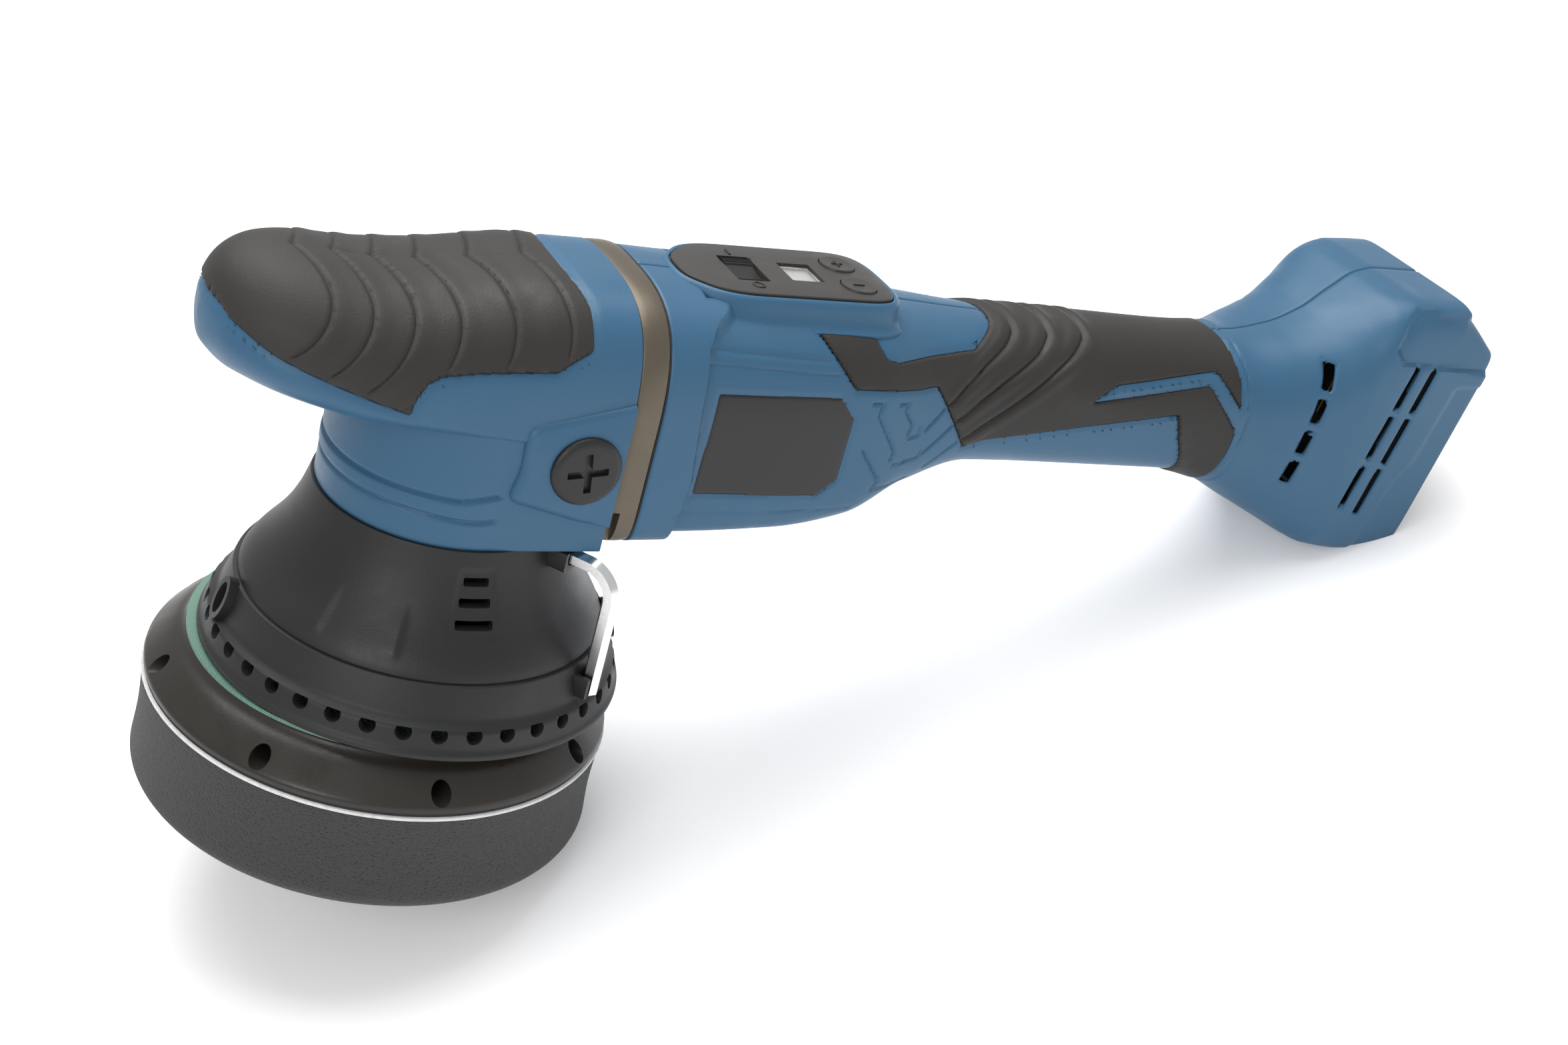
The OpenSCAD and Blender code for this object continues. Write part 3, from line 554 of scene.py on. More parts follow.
cover.data.vertices.foreach_set("co", (where / 1000).astype(np.float32).ravel())
cover.data.update()
boss = [(-4.6, -4.6), (4.6, -4.6), (4.6, 2.2), (-4.6, 2.2)]
combine(cover, prisms(rounded(boss, 1.2, 3), [radial_frame(key_angle, 107.6)], 39.5, 48.5), "UNION")
combine(cover, prisms(ring_of_points(3.19, 32), [radial_frame(key_angle, 107.6)], 36, 60), "DIFFERENCE")
for side_angle in (-92, 88):
    for k in range(3):
        half = 6 - k
        slot_outline = rounded([(-half, -1.3), (half, -1.3), (half, 1.3), (-half, 1.3)], 0.6, 3)
        combine(cover, prisms(slot_outline, [radial_frame(side_angle, 89.8 + 6 * k)], 36, 60), "DIFFERENCE")
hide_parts("shroud_cover")

# ---- Hex key: the 5 mm key for the plate's bolt, bright nickel plate ----
nickel = metal_finish("nickel_plate", (0.80, 0.80, 0.80), 0.10, 0.22, 700.0, 30.0, 0.00001, (0.9, 1.1))
dress("hex_key", nickel)

# ---- Head: one moulding of blue glass-filled nylon ----
# Its bill reaches out over the pad as a front handle, and its D-shaped neck comes down on the shroud. On each
# side a pod stands proud round the access plug. It is fixed to the gear case by screws from behind.
blue = moulded_finish("blue_plastic", (0.028, 0.098, 0.180), 0.32, 0.46, 1700.0, 0.00004, (0.93, 1.08), 30.0)
rubber = moulded_finish("grip_rubber", (0.020, 0.0185, 0.017), 0.46, 0.62, 1300.0, 0.00008, (0.8, 1.3), 26.0)


def through(table, at):
    """Smooth curves through the rows of a table, whose first column rises. Slopes are limited as in a
    monotone cubic, so that a curve never swings past its rows."""
    table = np.asarray(table, float)
    x, values = table[:, 0], table[:, 1:]
    run = np.diff(x)[:, None]
    rise = np.diff(values, axis=0) / run
    weight = run[1:] + 2 * run[:-1], 2 * run[1:] + run[:-1]
    same_way = rise[:-1] * rise[1:] > 0
    with np.errstate(divide="ignore", invalid="ignore"):
        middle = (weight[0] + weight[1]) / (weight[0] / rise[:-1] + weight[1] / rise[1:])
    slope = np.concatenate([rise[:1], np.where(same_way, middle, 0), rise[-1:]])
    i = np.clip(np.searchsorted(x, at, side="right") - 1, 0, len(x) - 2)
    t = ((at - x[i]) / run[i, 0])[:, None]
    return ((1 + 2 * t) * (1 - t) ** 2 * values[i] + t * (1 - t) ** 2 * run[i] * slope[i]
            + t ** 2 * (3 - 2 * t) * values[i + 1] - t ** 2 * (1 - t) * run[i] * slope[i + 1])


def body_surface(rows, along, turn):
    """Points of a body of superellipse sections. A row is a station and the section's x, middle height,
    height above and below it, half width, powers above and below, and lean. Turn is the angle up from +Y."""
    section = through(rows, along.ravel()).reshape(*along.shape, -1)
    x, middle, above, below, half, power_above, power_below, slant = np.moveaxis(section, -1, 0)
    up_here = np.sin(turn) >= 0
    height = np.maximum(np.where(up_here, above, below), 1e-6)
    power = np.where(up_here, power_above, power_below)
    reach = ((np.abs(np.cos(turn)) / np.maximum(half, 1e-6)) ** power
             + (np.abs(np.sin(turn)) / height) ** power) ** (-1 / power)
    rise = reach * np.sin(turn)
    return np.stack([x + slant * rise, reach * np.cos(turn), middle + rise], axis=-1)


def normals_of(points):
    """Unit normals of a grid of points, from the slopes along its rows and columns."""
    normal = np.cross(np.gradient(points, axis=1), np.gradient(points, axis=0))
    length = np.linalg.norm(normal, axis=-1, keepdims=True)
    return normal / np.maximum(length, 1e-9)


def inside_by(points, outline, closed=True):
    """Distance in millimetres, in the side view, from an outline's line: positive inside it. For an open
    line the distance has no sign."""
    p = points[..., [0, 2]]
    start = np.asarray(outline, float)
    end = np.roll(start, -1, 0)
    if not closed:
        start, end = start[:-1], end[:-1]
    nearest = np.full(p.shape[:-1], np.inf)
    crossings = np.zeros(p.shape[:-1], int)
    for a, b in zip(start, end):
        leg, from_a = b - a, p - a
        t = np.clip((from_a @ leg) / (leg @ leg), 0, 1)
        nearest = np.minimum(nearest, np.linalg.norm(from_a - t[..., None] * leg, axis=-1))
        if closed and a[1] != b[1]:
            spans = (a[1] > p[..., 1]) != (b[1] > p[..., 1])
            crossings += spans & (p[..., 0] < a[0] + (p[..., 1] - a[1]) * leg[0] / leg[1])
    return np.where(crossings % 2 == 1, nearest, -nearest) if closed else nearest


def across(points, path):
    """Distance in millimetres, in the side view, from an open line, with a sign that tells its two sides
    apart. Past the line's ends it is very large."""
    p = points[..., [0, 2]]
    nearest, signed = np.full(p.shape[:-1], np.inf), np.zeros(p.shape[:-1])
    last = len(path) - 2
    for k, (a, b) in enumerate(zip(np.asarray(path[:-1], float), np.asarray(path[1:], float))):
        leg, from_a = b - a, p - a
        t = (from_a @ leg) / (leg @ leg)
        past_end = ((k == 0) & (t < 0)) | ((k == last) & (t > 1))
        distance = np.linalg.norm(from_a - np.clip(t, 0, 1)[..., None] * leg, axis=-1)
        which_side = np.sign(leg[0] * from_a[..., 1] - leg[1] * from_a[..., 0])
        value = np.where(past_end, 1000.0, which_side * distance)
        signed = np.where(distance < nearest, value, signed)
        nearest = np.minimum(nearest, distance)
    return signed


def settle(along, turn, surface, lines):
    """Moves grid nodes on to the nearest of some lines where a distance passes a level, by at most half a
    cell, so that edges come out crisp. Gives the new grid and which nodes lie on a line."""
    along, turn = along.copy(), turn.copy()
    cell_along, cell_turn = np.gradient(along, axis=0), np.gradient(turn, axis=1)
    points = surface(along, turn)
    fixed = np.zeros(along.shape, bool)
    for distance, level in lines:
        value = distance(points) - level
        by_row, by_column = np.gradient(value, axis=0), np.gradient(value, axis=1)
        size = np.maximum(by_row ** 2 + by_column ** 2, 1e-12)
        rows_off, columns_off = -value * by_row / size, -value * by_column / size
        near = (np.abs(rows_off) <= 0.5) & (np.abs(columns_off) <= 0.5) & ~fixed
        near[:, [0, -1]] = False
        near[[0, -1], :] = False
        along += np.where(near, rows_off * cell_along, 0)
        turn += np.where(near, columns_off * cell_turn, 0)
        fixed |= near
    return along, turn, fixed


def grid_triangles(fixed):
    """Two triangles for each cell, split along the diagonal whose ends both lie on a line."""
    rows, columns = fixed.shape
    quads = grid_faces(rows, columns)
    on = fixed.ravel()[quads]
    other_way = on[:, 1] & on[:, 3] & ~(on[:, 0] & on[:, 2])
    a, b, c, d = quads.T
    first = np.where(other_way[:, None], np.stack([a, b, d], -1), np.stack([a, b, c], -1))
    second = np.where(other_way[:, None], np.stack([b, c, d], -1), np.stack([a, c, d], -1))
    return np.concatenate([first, second])


def thicken(piece, wall):
    """Gives an open skin a wall, inwards from its faces, in millimetres."""
    change = piece.modifiers.new("wall", "SOLIDIFY")
    change.thickness, change.offset = wall / 1000, -1


# Sections of the bill: x, bottom, middle, top, half width, powers above and below. The tip is a point.
tip_x = -85.3
bill = [(-85.3, 167, 167, 167, 0, 2, 2), (-84.5, 160, 166.5, 174, 6, 2, 2), (-82, 156.5, 166, 181, 15, 2, 2),
        (-77, 153.2, 165, 186, 23, 2.1, 2.1), (-68, 151.0, 163, 189, 31, 2.2, 2.3),
        (-55, 149, 160, 189, 37, 2.3, 2.5), (-40, 147.5, 157, 187.5, 40, 2.4, 2.8),
        (-20, 146.5, 154, 187.8, 41, 2.6, 3), (0, 145.5, 151, 190.3, 41, 2.8, 3.4),
        (12, 145, 150, 191.5, 41, 3, 4), (38, 145, 150, 191.3, 41, 3, 4)]
bill_rows = [(math.sqrt(x - tip_x), x, middle, top - middle, middle - bottom, half, above, below, 0)
             for x, bottom, middle, top, half, above, below in bill]
grip_front = [(-90, 176), (-82.6, 174), (-81.3, 172.4), (-77.9, 170.9), (-73.2, 168.4), (-68.3, 166.5),
              (-56.5, 163), (-42.5, 158.8), (-31.4, 155.5), (-30.5, 160.4), (-27.6, 165.3), (-23.7, 167.6),
              (-11.6, 169), (0.7, 169.7), (11.4, 170.3), (16.8, 173.8), (22.5, 177), (22.8, 187), (21.3, 190),
              (19.5, 191.6), (19.5, 240), (-90, 240)]
groove_peaks = (-55, -43, -31, -17.5, -1.5, 15.5)


def bill_at(station, turn):
    return body_surface(bill_rows, station, turn)


def in_front_grip(points):
    return inside_by(points, grip_front)


def climb(points):
    """How far up the section a point is, in degrees from level, on either side."""
    middle = np.interp(points[..., 0], [row[1] for row in bill_rows], [row[2] for row in bill_rows])
    return np.degrees(np.arctan2(points[..., 2] - middle, np.abs(points[..., 1])))


def past_groove(points, peak):
    """How far behind one finger groove a point is. The grooves bow forwards below and over the top."""
    up_side = climb(points)
    bow = np.where(up_side < 45, 11 * ((45 - np.minimum(up_side, 45)) / 35) ** 2,
                   6 * ((np.maximum(up_side, 45) - 45) / 43) ** 1.5)
    return points[..., 0] - (peak - bow)


def bill_grid(step, columns, end):
    """Stations and turns: fine at the tip, then evenly spaced along x, all the way round."""
    rows = np.concatenate([np.linspace(0, 3, 14), np.sqrt(np.arange(-75.9, end - step / 2, step) - tip_x),
                           [math.sqrt(end - tip_x)]])
    turns = np.radians(np.linspace(-90, 270, columns + 1))
    return np.broadcast_arrays(rows[:, None], turns[None, :])


station, turn = bill_grid(1.0, 240, 38.0)
station, turn, on_line = settle(station, turn, bill_at, [(in_front_grip, 0)])
points = bill_at(station, turn)
depth_in = in_front_grip(points)
sink = 0.45 * ramp(depth_in, -2.4, -0.4) + 0.95 * ramp(depth_in, -0.1, 0.5)
points -= sink[..., None] * normals_of(points)
points = points.reshape(-1, 3)
back_cap = np.arange(len(points) - 241, len(points) - 1)
shell_faces = np.array(grid_triangles(on_line).tolist() + [back_cap.tolist()], dtype=object)
head = skin("head_housing", points / 1000, shell_faces, [blue.material], "housing")
face_outwards(head)

# The neck is a D in plan. Two raised lines run round its front.
neck_radius, neck_foot, neck_top = 40.3, 111.0, 153.0
straight = np.linspace(38, 0, 40)
arc = np.radians(np.linspace(90, 270, 150))[1:-1]
plan = np.concatenate([np.stack([straight, 0 * straight + neck_radius], -1),
                       neck_radius * np.stack([np.cos(arc), np.sin(arc)], -1),
                       np.stack([straight[::-1], 0 * straight - neck_radius], -1)])
plan_out = np.where(plan[:, :1] > 0, np.stack([0 * plan[:, 0], np.sign(plan[:, 1])], -1), plan / neck_radius)
levels = np.concatenate([[neck_foot, neck_foot + 0.15, neck_foot + 0.6], np.arange(neck_foot + 1.2, 131, 0.4),
                         np.arange(131, neck_top + 0.1, 1.5)])
plan_x = plan[:, 0]
in_front = 1 - ramp(plan_x, 0.5, 3.0)
upper_line = 127 + 2.6 * ramp(plan_x, -12, 3)
lower_line = 121.2 - 0.8 * ramp(plan_x, -30, -5) + 0.9 * ramp(plan_x, -5, 3)
at_level = levels[:, None]
grooved = sum(np.exp(-((at_level - line) / 0.75) ** 2) for line in (upper_line, lower_line))
between = ramp(at_level, lower_line, lower_line + 1) * (1 - ramp(at_level, upper_line - 1, upper_line))
out_neck = (in_front * (0.35 * between - 0.75 * grooved)
            - 0.25 * (1 - ramp(at_level, neck_foot, neck_foot + 0.6)))
ring_xy = plan + out_neck[..., None] * plan_out
neck_points = np.concatenate([ring_xy, np.broadcast_to(levels[:, None, None], (*out_neck.shape, 1))], -1)
ends = [list(range(len(plan))), list(range((len(levels) - 1) * len(plan), len(levels) * len(plan)))]
neck_faces = np.array(grid_faces(len(levels), len(plan), closed=True).tolist() + ends, dtype=object)
neck = solid(neck_points.reshape(-1, 3), neck_faces)
combine(head, neck, "UNION")


def inset(outline, amount):
    """An outline moved inwards along its normals. It runs anticlockwise."""
    along = np.roll(outline, -1, 0) - np.roll(outline, 1, 0)
    normal = np.stack([-along[:, 1], along[:, 0]], -1) / np.linalg.norm(along, axis=1, keepdims=True)
    return outline + amount * normal


# A pod round each access plug: a flat face 1.6 mm proud, with its edges chamfered except against the flange.
pod_outline = rounded([(38, 120.5), (38, 162), (5.5, 153.5), (6.1, 139), (3.7, 129), (27.5, 122.3)],
                      [0, 0, 3.5, 3, 3.5, 3], 5)
for side in (-1, 1):
    rings = []
    for moved_in, proud in ((-1.2, 36.0), (-0.2, 41.0), (0.9, 42.1), (2.2, 42.6)):
        ring = inset(pod_outline, moved_in)
        ring[:, 0] = np.where(pod_outline[:, 0] > 37.9, 38.0, ring[:, 0])
        rings.append(np.stack([ring[:, 0], side * proud + 0 * ring[:, 0], ring[:, 1]], -1))
    count = len(pod_outline)
    pod_faces = np.array(grid_faces(4, count, closed=True).tolist()
                         + [list(range(count)), list(range(3 * count, 4 * count))], dtype=object)
    combine(head, solid(np.concatenate(rings), pod_faces), "UNION")

# The casting's back and foot are open, and its wall is 2.4 mm thick.
open_head = bmesh.new()
open_head.from_mesh(head.data)
bmesh.ops.triangulate(open_head, faces=[f for f in open_head.faces if len(f.verts) > 4])
caps = [f for f in open_head.faces
        if all(v.co.x > 0.03799 for v in f.verts) or all(v.co.z < 0.11101 for v in f.verts)]
bmesh.ops.delete(open_head, geom=caps, context="FACES")
open_head.to_mesh(head.data)
open_head.free()
thicken(head, 2.4)
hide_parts("head_housing")

# The front grip is soft rubber moulded over the bill, with six finger grooves and a mould line along its top.
station, turn = bill_grid(0.8, 300, 26.0)
grooves = [(lambda p, peak=peak: past_groove(p, peak), level)
           for peak in groove_peaks for level in (0.0, 0.9)]
station, turn, on_line = settle(station, turn, bill_at, [(in_front_grip, 0), *grooves])
points = bill_at(station, turn)
depth_in = in_front_grip(points)
rise = -0.95 + 1.25 * np.sqrt(np.clip(depth_in / 1.0, 0, 1))
inner_part = ramp(depth_in, 0.6, 3.0)
for peak in groove_peaks:
    behind = past_groove(points, peak)
    rise -= 0.55 * inner_part * (1 - ramp(np.abs(behind), 0.0, 0.95))
    rise += 0.35 * inner_part * ramp(behind, 0.2, 1.3) * (1 - ramp(behind, 1.3, 7.0))
along_x = ramp(points[..., 0], -52, -48) * (1 - ramp(points[..., 0], 4, 9))
rise -= 0.25 * along_x * (1 - ramp(np.abs(points[..., 1]), 0.0, 0.8)) * (climb(points) > 60)
points += rise[..., None] * normals_of(points)
triangles = grid_triangles(on_line)
kept = triangles[(depth_in.ravel()[triangles] > -0.06).all(axis=1)]
front_grip = skin("front_grip", points.reshape(-1, 3) / 1000, kept, [rubber.material], "housing")
thicken(front_grip, 0.9)
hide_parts("front_grip")

# ---- Motor housing, handle and battery foot: one long clamshell in two halves of the same blue nylon ----
# The halves meet in a fine seam along the top and the bottom. The collar at the front, the relief lines on
# the sides, the louvres in the foot and the bed of the rubber grip are all moulded in.

# Sections: x, bottom, middle, top, half width, powers above and below, lean.
body_sections = [
    (48, 112.4, 150, 187.2, 38.3, 3, 8, 0), (66, 112.5, 150, 186.7, 37.6, 3, 8, 0),
    (100, 113.5, 150, 186.5, 37, 3, 7, 0), (127, 116.5, 151, 186, 35.5, 2.8, 5, 0),
    (150, 124, 153, 184.5, 30.5, 2.4, 3, 0), (178, 130.5, 156, 183, 26.5, 2.2, 2.4, 0),
    (220, 129.5, 155.5, 182.3, 26, 2.2, 2.2, 0),
    (262, 128.5, 155, 181.3, 25.5, 2.2, 2.2, 0), (282, 125.7, 155, 181.6, 27, 2.3, 2.5, 0),
    (300, 118.5, 156, 185.4, 32, 2.8, 3.0, 0), (313, 113.8, 157, 192.3, 35, 3, 3.8, 0.02),
    (321, 111.4, 158, 201, 36.5, 3.6, 4.5, 0.06), (327, 110.2, 158, 207.4, 37.5, 5.5, 5.5, 0.10),
    (334, 109.2, 158, 209.6, 38, 7.5, 7, 0.14), (352, 108.4, 158, 209.8, 38, 9, 9, 0.177),
    (354, 108.4, 158, 208.9, 38, 9, 9, 0.177), (371, 110.5, 158, 196.5, 38, 14, 12, 0.177)]
body_rows = [(x, x, middle, top - middle, middle - bottom, half, above, below, slant)
             for x, bottom, middle, top, half, above, below, slant in body_sections]
collar = [(40, 220), (73, 220), (72.9, 185.8), (70.9, 184.6), (64.5, 181.5), (61.2, 177), (60.6, 170),
          (60.4, 160), (61.6, 148), (62.9, 136), (61.5, 122), (61, 90), (40, 90)]
badge_outline = [(66.7, 165.3), (111.1, 165.1), (117.7, 157.7), (117.7, 135.5), (110.9, 129.4), (65.8, 129.8)]
grip_rear = [(102.2, 182.6), (123.6, 182.0), (127.8, 176.3), (132.5, 175.2), (166.4, 176.9), (170.6, 179.2),
             (176.1, 182), (178.5, 184), (176, 220), (277, 220), (276, 184), (279, 172), (280.2, 160),
             (281, 147), (281.5, 110), (268, 110), (268, 131), (265, 137.5), (257.5, 149), (253.5, 158.3),
             (214.7, 152.6),
             (177.2, 146.2), (168.7, 143.2), (158.8, 155.7), (152, 164.3), (149.6, 166.8), (142.8, 166.2),
             (115.5, 167.3)]
chevron = [(216.5, 162.2), (225.4, 167.9), (268.8, 173.4), (284, 157.4), (284, 150.1), (266.5, 169.2)]
ridges = [[(153.5, 157.5), (162.5, 166.5), (170.5, 172.5), (179.5, 177.6), (184.3, 180.9), (186, 186),
           (186, 210)],
          [(160, 153.3), (169, 160.8), (180, 168.6), (192.2, 175.7), (198.7, 180.4), (200.5, 186),
           (200.5, 210)],
          [(166.8, 147.5), (176, 154.4), (188, 163.4), (199, 171.2), (207.5, 176.4), (213.7, 180.4),
           (215.6, 186), (215.6, 210)]]
relief = [[(123.7, 162.9), (127.4, 162.9), (126.7, 158.6), (137.3, 145.4), (136.8, 142.2)],
          [(138.8, 139.9), (149.2, 141.3), (149.8, 144.2)], [(134.9, 162.4), (138.1, 162.2), (137.8, 159.6),
          (142.2, 154.7), (141.4, 150.8)], [(142.3, 149.6), (146.1, 150.2), (145.9, 153.5)],
          [(148.8, 151.8), (154.8, 159.2)], [(150.7, 142.9), (160, 152.6)], [(154.9, 136.9), (165, 146.2)],
          [(124.2, 146.2), (134.2, 134.5), (132.4, 131.1), (141, 131), (148.8, 132.1)]]
long_lines = [[(62, 177.4), (105.4, 175.6)], [(61.7, 173.6), (109, 171.6)], [(60, 123.8), (126, 124.2)],
              [(276, 190), (279, 184), (282, 172), (283.3, 160), (284, 147), (284.5, 110)]]
foot_recesses = [([(331, 193), (334, 203), (338, 207), (385, 206), (385, 186), (336, 188)], 1.7),
                 ([(352, 141), (358, 150), (364, 180), (390, 182), (386, 90), (348, 90), (346, 121)], 0.7)]
# Louvres: the top and bottom of each slanting row, its number of slots, their width and the bars between.
louvre_rows = [((310.2, 183), (305.6, 137), 4, 3.6, 3.2), ((342.8, 187.5), (331.8, 129.5), 3, 2.6, 2.6),
               ((350.9, 187.5), (340.0, 127.5), 3, 2.6, 2.6)]


def body_at(station, turn):
    return body_surface(body_rows, station, turn)


def in_grip(points):
    return np.minimum(inside_by(points, grip_rear), -inside_by(points, chevron))


def in_collar(points):
    return inside_by(points, collar)


def in_badge(points):
    return inside_by(points, badge_outline)


def in_slots(points):
    """Distance inside the nearest louvre slot. Each is a rectangle on its row's slanting line."""
    p = points[..., [0, 2]]
    best = np.full(p.shape[:-1], -np.inf)
    for top, bottom, count, width, bar in louvre_rows:
        top, bottom = np.array(top), np.array(bottom)
        way = (bottom - top) / np.linalg.norm(bottom - top)
        pitch = (np.linalg.norm(bottom - top) + bar) / count
        along, across = (p - top) @ way, (p - top) @ np.array([-way[1], way[0]])
        for k in range(count):
            half = (pitch - bar) / 2
            inside = np.minimum(half - np.abs(along - k * pitch - half), width / 2 - np.abs(across))
            best = np.maximum(best, inside)
    return best


def under_panel(points):
    """Distance inside the opening below the control panel, in plan, on the top of the housing."""
    inside = np.minimum(np.minimum(points[..., 0] - 64, 131 - points[..., 0]), 18 - np.abs(points[..., 1]))
    return np.where(points[..., 2] > 170, inside, -10.0)


def body_grid(side, step_fine, step_plain, step_turn):
    """One half's grid of stations and turns. Rows stand closer where there is relief, and turns near the
    top and bottom."""
    rows = np.concatenate([np.arange(48, 60, 1.2), np.arange(60, 120, step_fine),
                           np.arange(120, 168, 0.66), np.arange(168, 216, 1.05),
                           np.arange(216, 276, step_plain), np.arange(276, 290, step_fine),
                           np.arange(290, 302, step_plain), np.arange(302, 326, 1.0),
                           np.arange(326, 353, 0.8), np.linspace(353, 371, 15)])
    half_turns = np.concatenate([np.arange(0, 48, step_turn), np.linspace(48, 90, 28)])
    turns = np.radians(np.concatenate([-half_turns[:0:-1], half_turns]))
    station, turn = np.broadcast_arrays(rows[:, None], turns[None, :])
    return station, (turn if side > 0 else np.pi - turn)


def beside(path):
    return lambda points: across(points, path)


def groove(points, path, half_width, depth):
    """A V-shaped groove with soft shoulders along a path in the side view."""
    return depth * (1 - ramp(inside_by(points, path, closed=False), 0.0, half_width))


for side, half_name in ((1, "housing_left"), (-1, "housing_right")):
    station, turn = body_grid(side, 0.85, 1.7, 1.05)
    edges = [(in_grip, 0), (in_slots, 0), (in_badge, 0), (in_collar, 0)]
    edges += [(beside(path), 0.0) for path in relief + long_lines]
    station, turn, on_line = settle(station, turn, body_at, edges)
    points = body_at(station, turn)
    outwards = normals_of(points) * side
    x, z = points[..., 0], points[..., 2]
    high = ramp(np.degrees(np.abs(np.arctan2(z - 150, np.abs(points[..., 1])))), 40, 80)
    out = (2.7 + 0.9 * high * (z > 150) - 1.2 * high * (z < 150)) * ramp(in_collar(points), -2.0, 0.05)
    depth_in = in_grip(points)
    out -= 0.35 * ramp(depth_in, -1.8, -0.3) + 0.95 * ramp(depth_in, -0.1, 0.5)
    out -= (0.45 * ramp(in_badge(points), -0.75, 0.05)) if side < 0 else 0
    for path in relief:
        out -= groove(points, path, 1.0, 0.75)
    for path in long_lines:
        out -= groove(points, path, 1.1, 0.55)
    for recess, recess_depth in foot_recesses:
        out -= recess_depth * ramp(inside_by(points, recess), -0.8, 0.8)
    out -= 0.5 * ramp(in_slots(points), -0.8, 0)
    seam = ramp(np.abs(points[..., 1]), 0.0, 0.7)
    out -= 0.35 * (1 - seam)
    points += out[..., None] * outwards
    triangles = grid_triangles(on_line)
    if side < 0:
        triangles = triangles[:, ::-1]
    bare = body_at(station, turn)
    opening = np.maximum(in_slots(bare), under_panel(bare)).ravel()
    solid_part = (opening[triangles] < -0.05).any(axis=1)
    half = skin(half_name, points.reshape(-1, 3) / 1000, triangles[solid_part], [blue.material], "housing",
                1.5e-4)
    thicken(half, 2.4)
    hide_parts(half_name)

# The rear grip is black rubber moulded round the handle. Three ridges sweep over its front for the thumb.
grip_points, grip_triangles, points_before = [], [], 0
for side in (1, -1):
    station, turn = body_grid(side, 0.85, 1.2, 1.05)
    edges = [(in_grip, 0)] + [(beside(path), 0.0) for path in ridges]
    station, turn, on_line = settle(station, turn, body_at, edges)
    points = body_at(station, turn)
    outwards = normals_of(points) * side
    depth_in = in_grip(points)
    out = -0.95 + 1.3 * np.sqrt(np.clip(depth_in / 1.0, 0, 1))
    for path in ridges:
        away_from = inside_by(points, path, closed=False)
        out -= 0.9 * (1 - ramp(away_from, 0.0, 1.1)) * ramp(depth_in, 0.3, 1.5)
        out += 0.6 * np.exp(-((away_from - 2.6) / 1.7) ** 2) * ramp(depth_in, 0.5, 3)
    points += out[..., None] * outwards
    triangles = grid_triangles(on_line)
    triangles = triangles if side > 0 else triangles[:, ::-1]
    kept = triangles[(depth_in.ravel()[triangles] > -0.06).all(axis=1)]
    grip_points.append(points.reshape(-1, 3))
    grip_triangles.append(kept + points_before)
    points_before += points.shape[0] * points.shape[1]
rear_grip = skin("rear_grip", np.concatenate(grip_points) / 1000, np.concatenate(grip_triangles),
                 [rubber.material], "housing", 1.5e-4)
thicken(rear_grip, 0.9)
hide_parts("rear_grip")

# The badge is a plain black film let into the right-hand side of the motor housing.
film = moulded_finish("badge_film", (0.012, 0.012, 0.013), 0.20, 0.34, 2500.0, 0.00001, (0.9, 1.15), 20.0)
station, turn = np.broadcast_arrays(np.arange(60, 124, 0.85)[:, None],
                                    np.pi - np.radians(np.arange(-50, 41, 1.0)))
station, turn, on_line = settle(station, turn, body_at, [(in_badge, 0.15)])
points = body_at(station, turn)
rise = -0.55 + 0.30 * ramp(in_badge(points), 0.15, 0.75)
triangles = grid_triangles(on_line)
kept = triangles[(in_badge(points).ravel()[triangles] > 0.09).all(axis=1)][:, ::-1]
points -= rise[..., None] * normals_of(points)
badge = skin("label_badge", points.reshape(-1, 3) / 1000, kept, [film.material], "housing")
thicken(badge, 0.3)
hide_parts("label_badge")

# ---- Gearbox flange: a cast alloy ring between the head and the motor housing, painted bronze-grey ----
# Four screws pull it up against the gear case, and a thin gasket lies behind it. A dark notch is left on each
# side at its foot, where the head's skirt ends.
bronze = Finish("bronze_grey_paint", (0.115, 0.096, 0.072), 0.38, 0.6)
paint_surface = bronze.group(moulded, Grain_Scale=1800.0, Scuff_Scale=40.0)
bronze.blend(paint_surface.outputs["Tone"], 0.85, 1.15)
bronze.sheen_range(paint_surface.outputs["Scuff"], 0.42, 0.28)
bronze.bump(paint_surface.outputs["Grain"], 0.00003)
turns = np.radians(np.arange(0, 360, 1.25))[:, None]
profile = np.array([(38.15, -6.0), (38.15, -0.9), (38.4, -0.45), (38.9, -0.2), (41, 0.05), (43.5, 0.1),
                    (45.5, 0.0), (47.0, -0.25), (47.35, -0.6), (47.4, -1.2), (47.4, -6.0)])
outline_row = [(0, 0, 150, 41.2, 38.8, 40.9, 3, 9, 0), (1, 0, 150, 41.2, 38.8, 40.9, 3, 9, 0)]
outline = body_surface(outline_row, 0 * turns, turns)[:, 0]
way = np.roll(outline, -1, 0) - np.roll(outline, 1, 0)
out_way = np.stack([way[:, 2], -way[:, 1]], -1) / np.linalg.norm(way, axis=1, keepdims=True)
yz = outline[:, None, 1:] + profile[None, :, 1:] * out_way[:, None, :]
ring_points = np.concatenate([np.broadcast_to(profile[None, :, :1], (*yz.shape[:2], 1)), yz], -1)
count, across_ring = ring_points.shape[:2]
i, j = np.meshgrid(np.arange(count), np.arange(across_ring), indexing="ij")
i2, j2 = (i + 1) % count, (j + 1) % across_ring
ring_faces = np.stack([i * across_ring + j, i2 * across_ring + j, i2 * across_ring + j2,
                       i * across_ring + j2], -1).reshape(-1, 4)
flange = skin("gearbox_flange", ring_points.reshape(-1, 3) / 1000, ring_faces, [bronze.material], "housing")
face_outwards(flange)
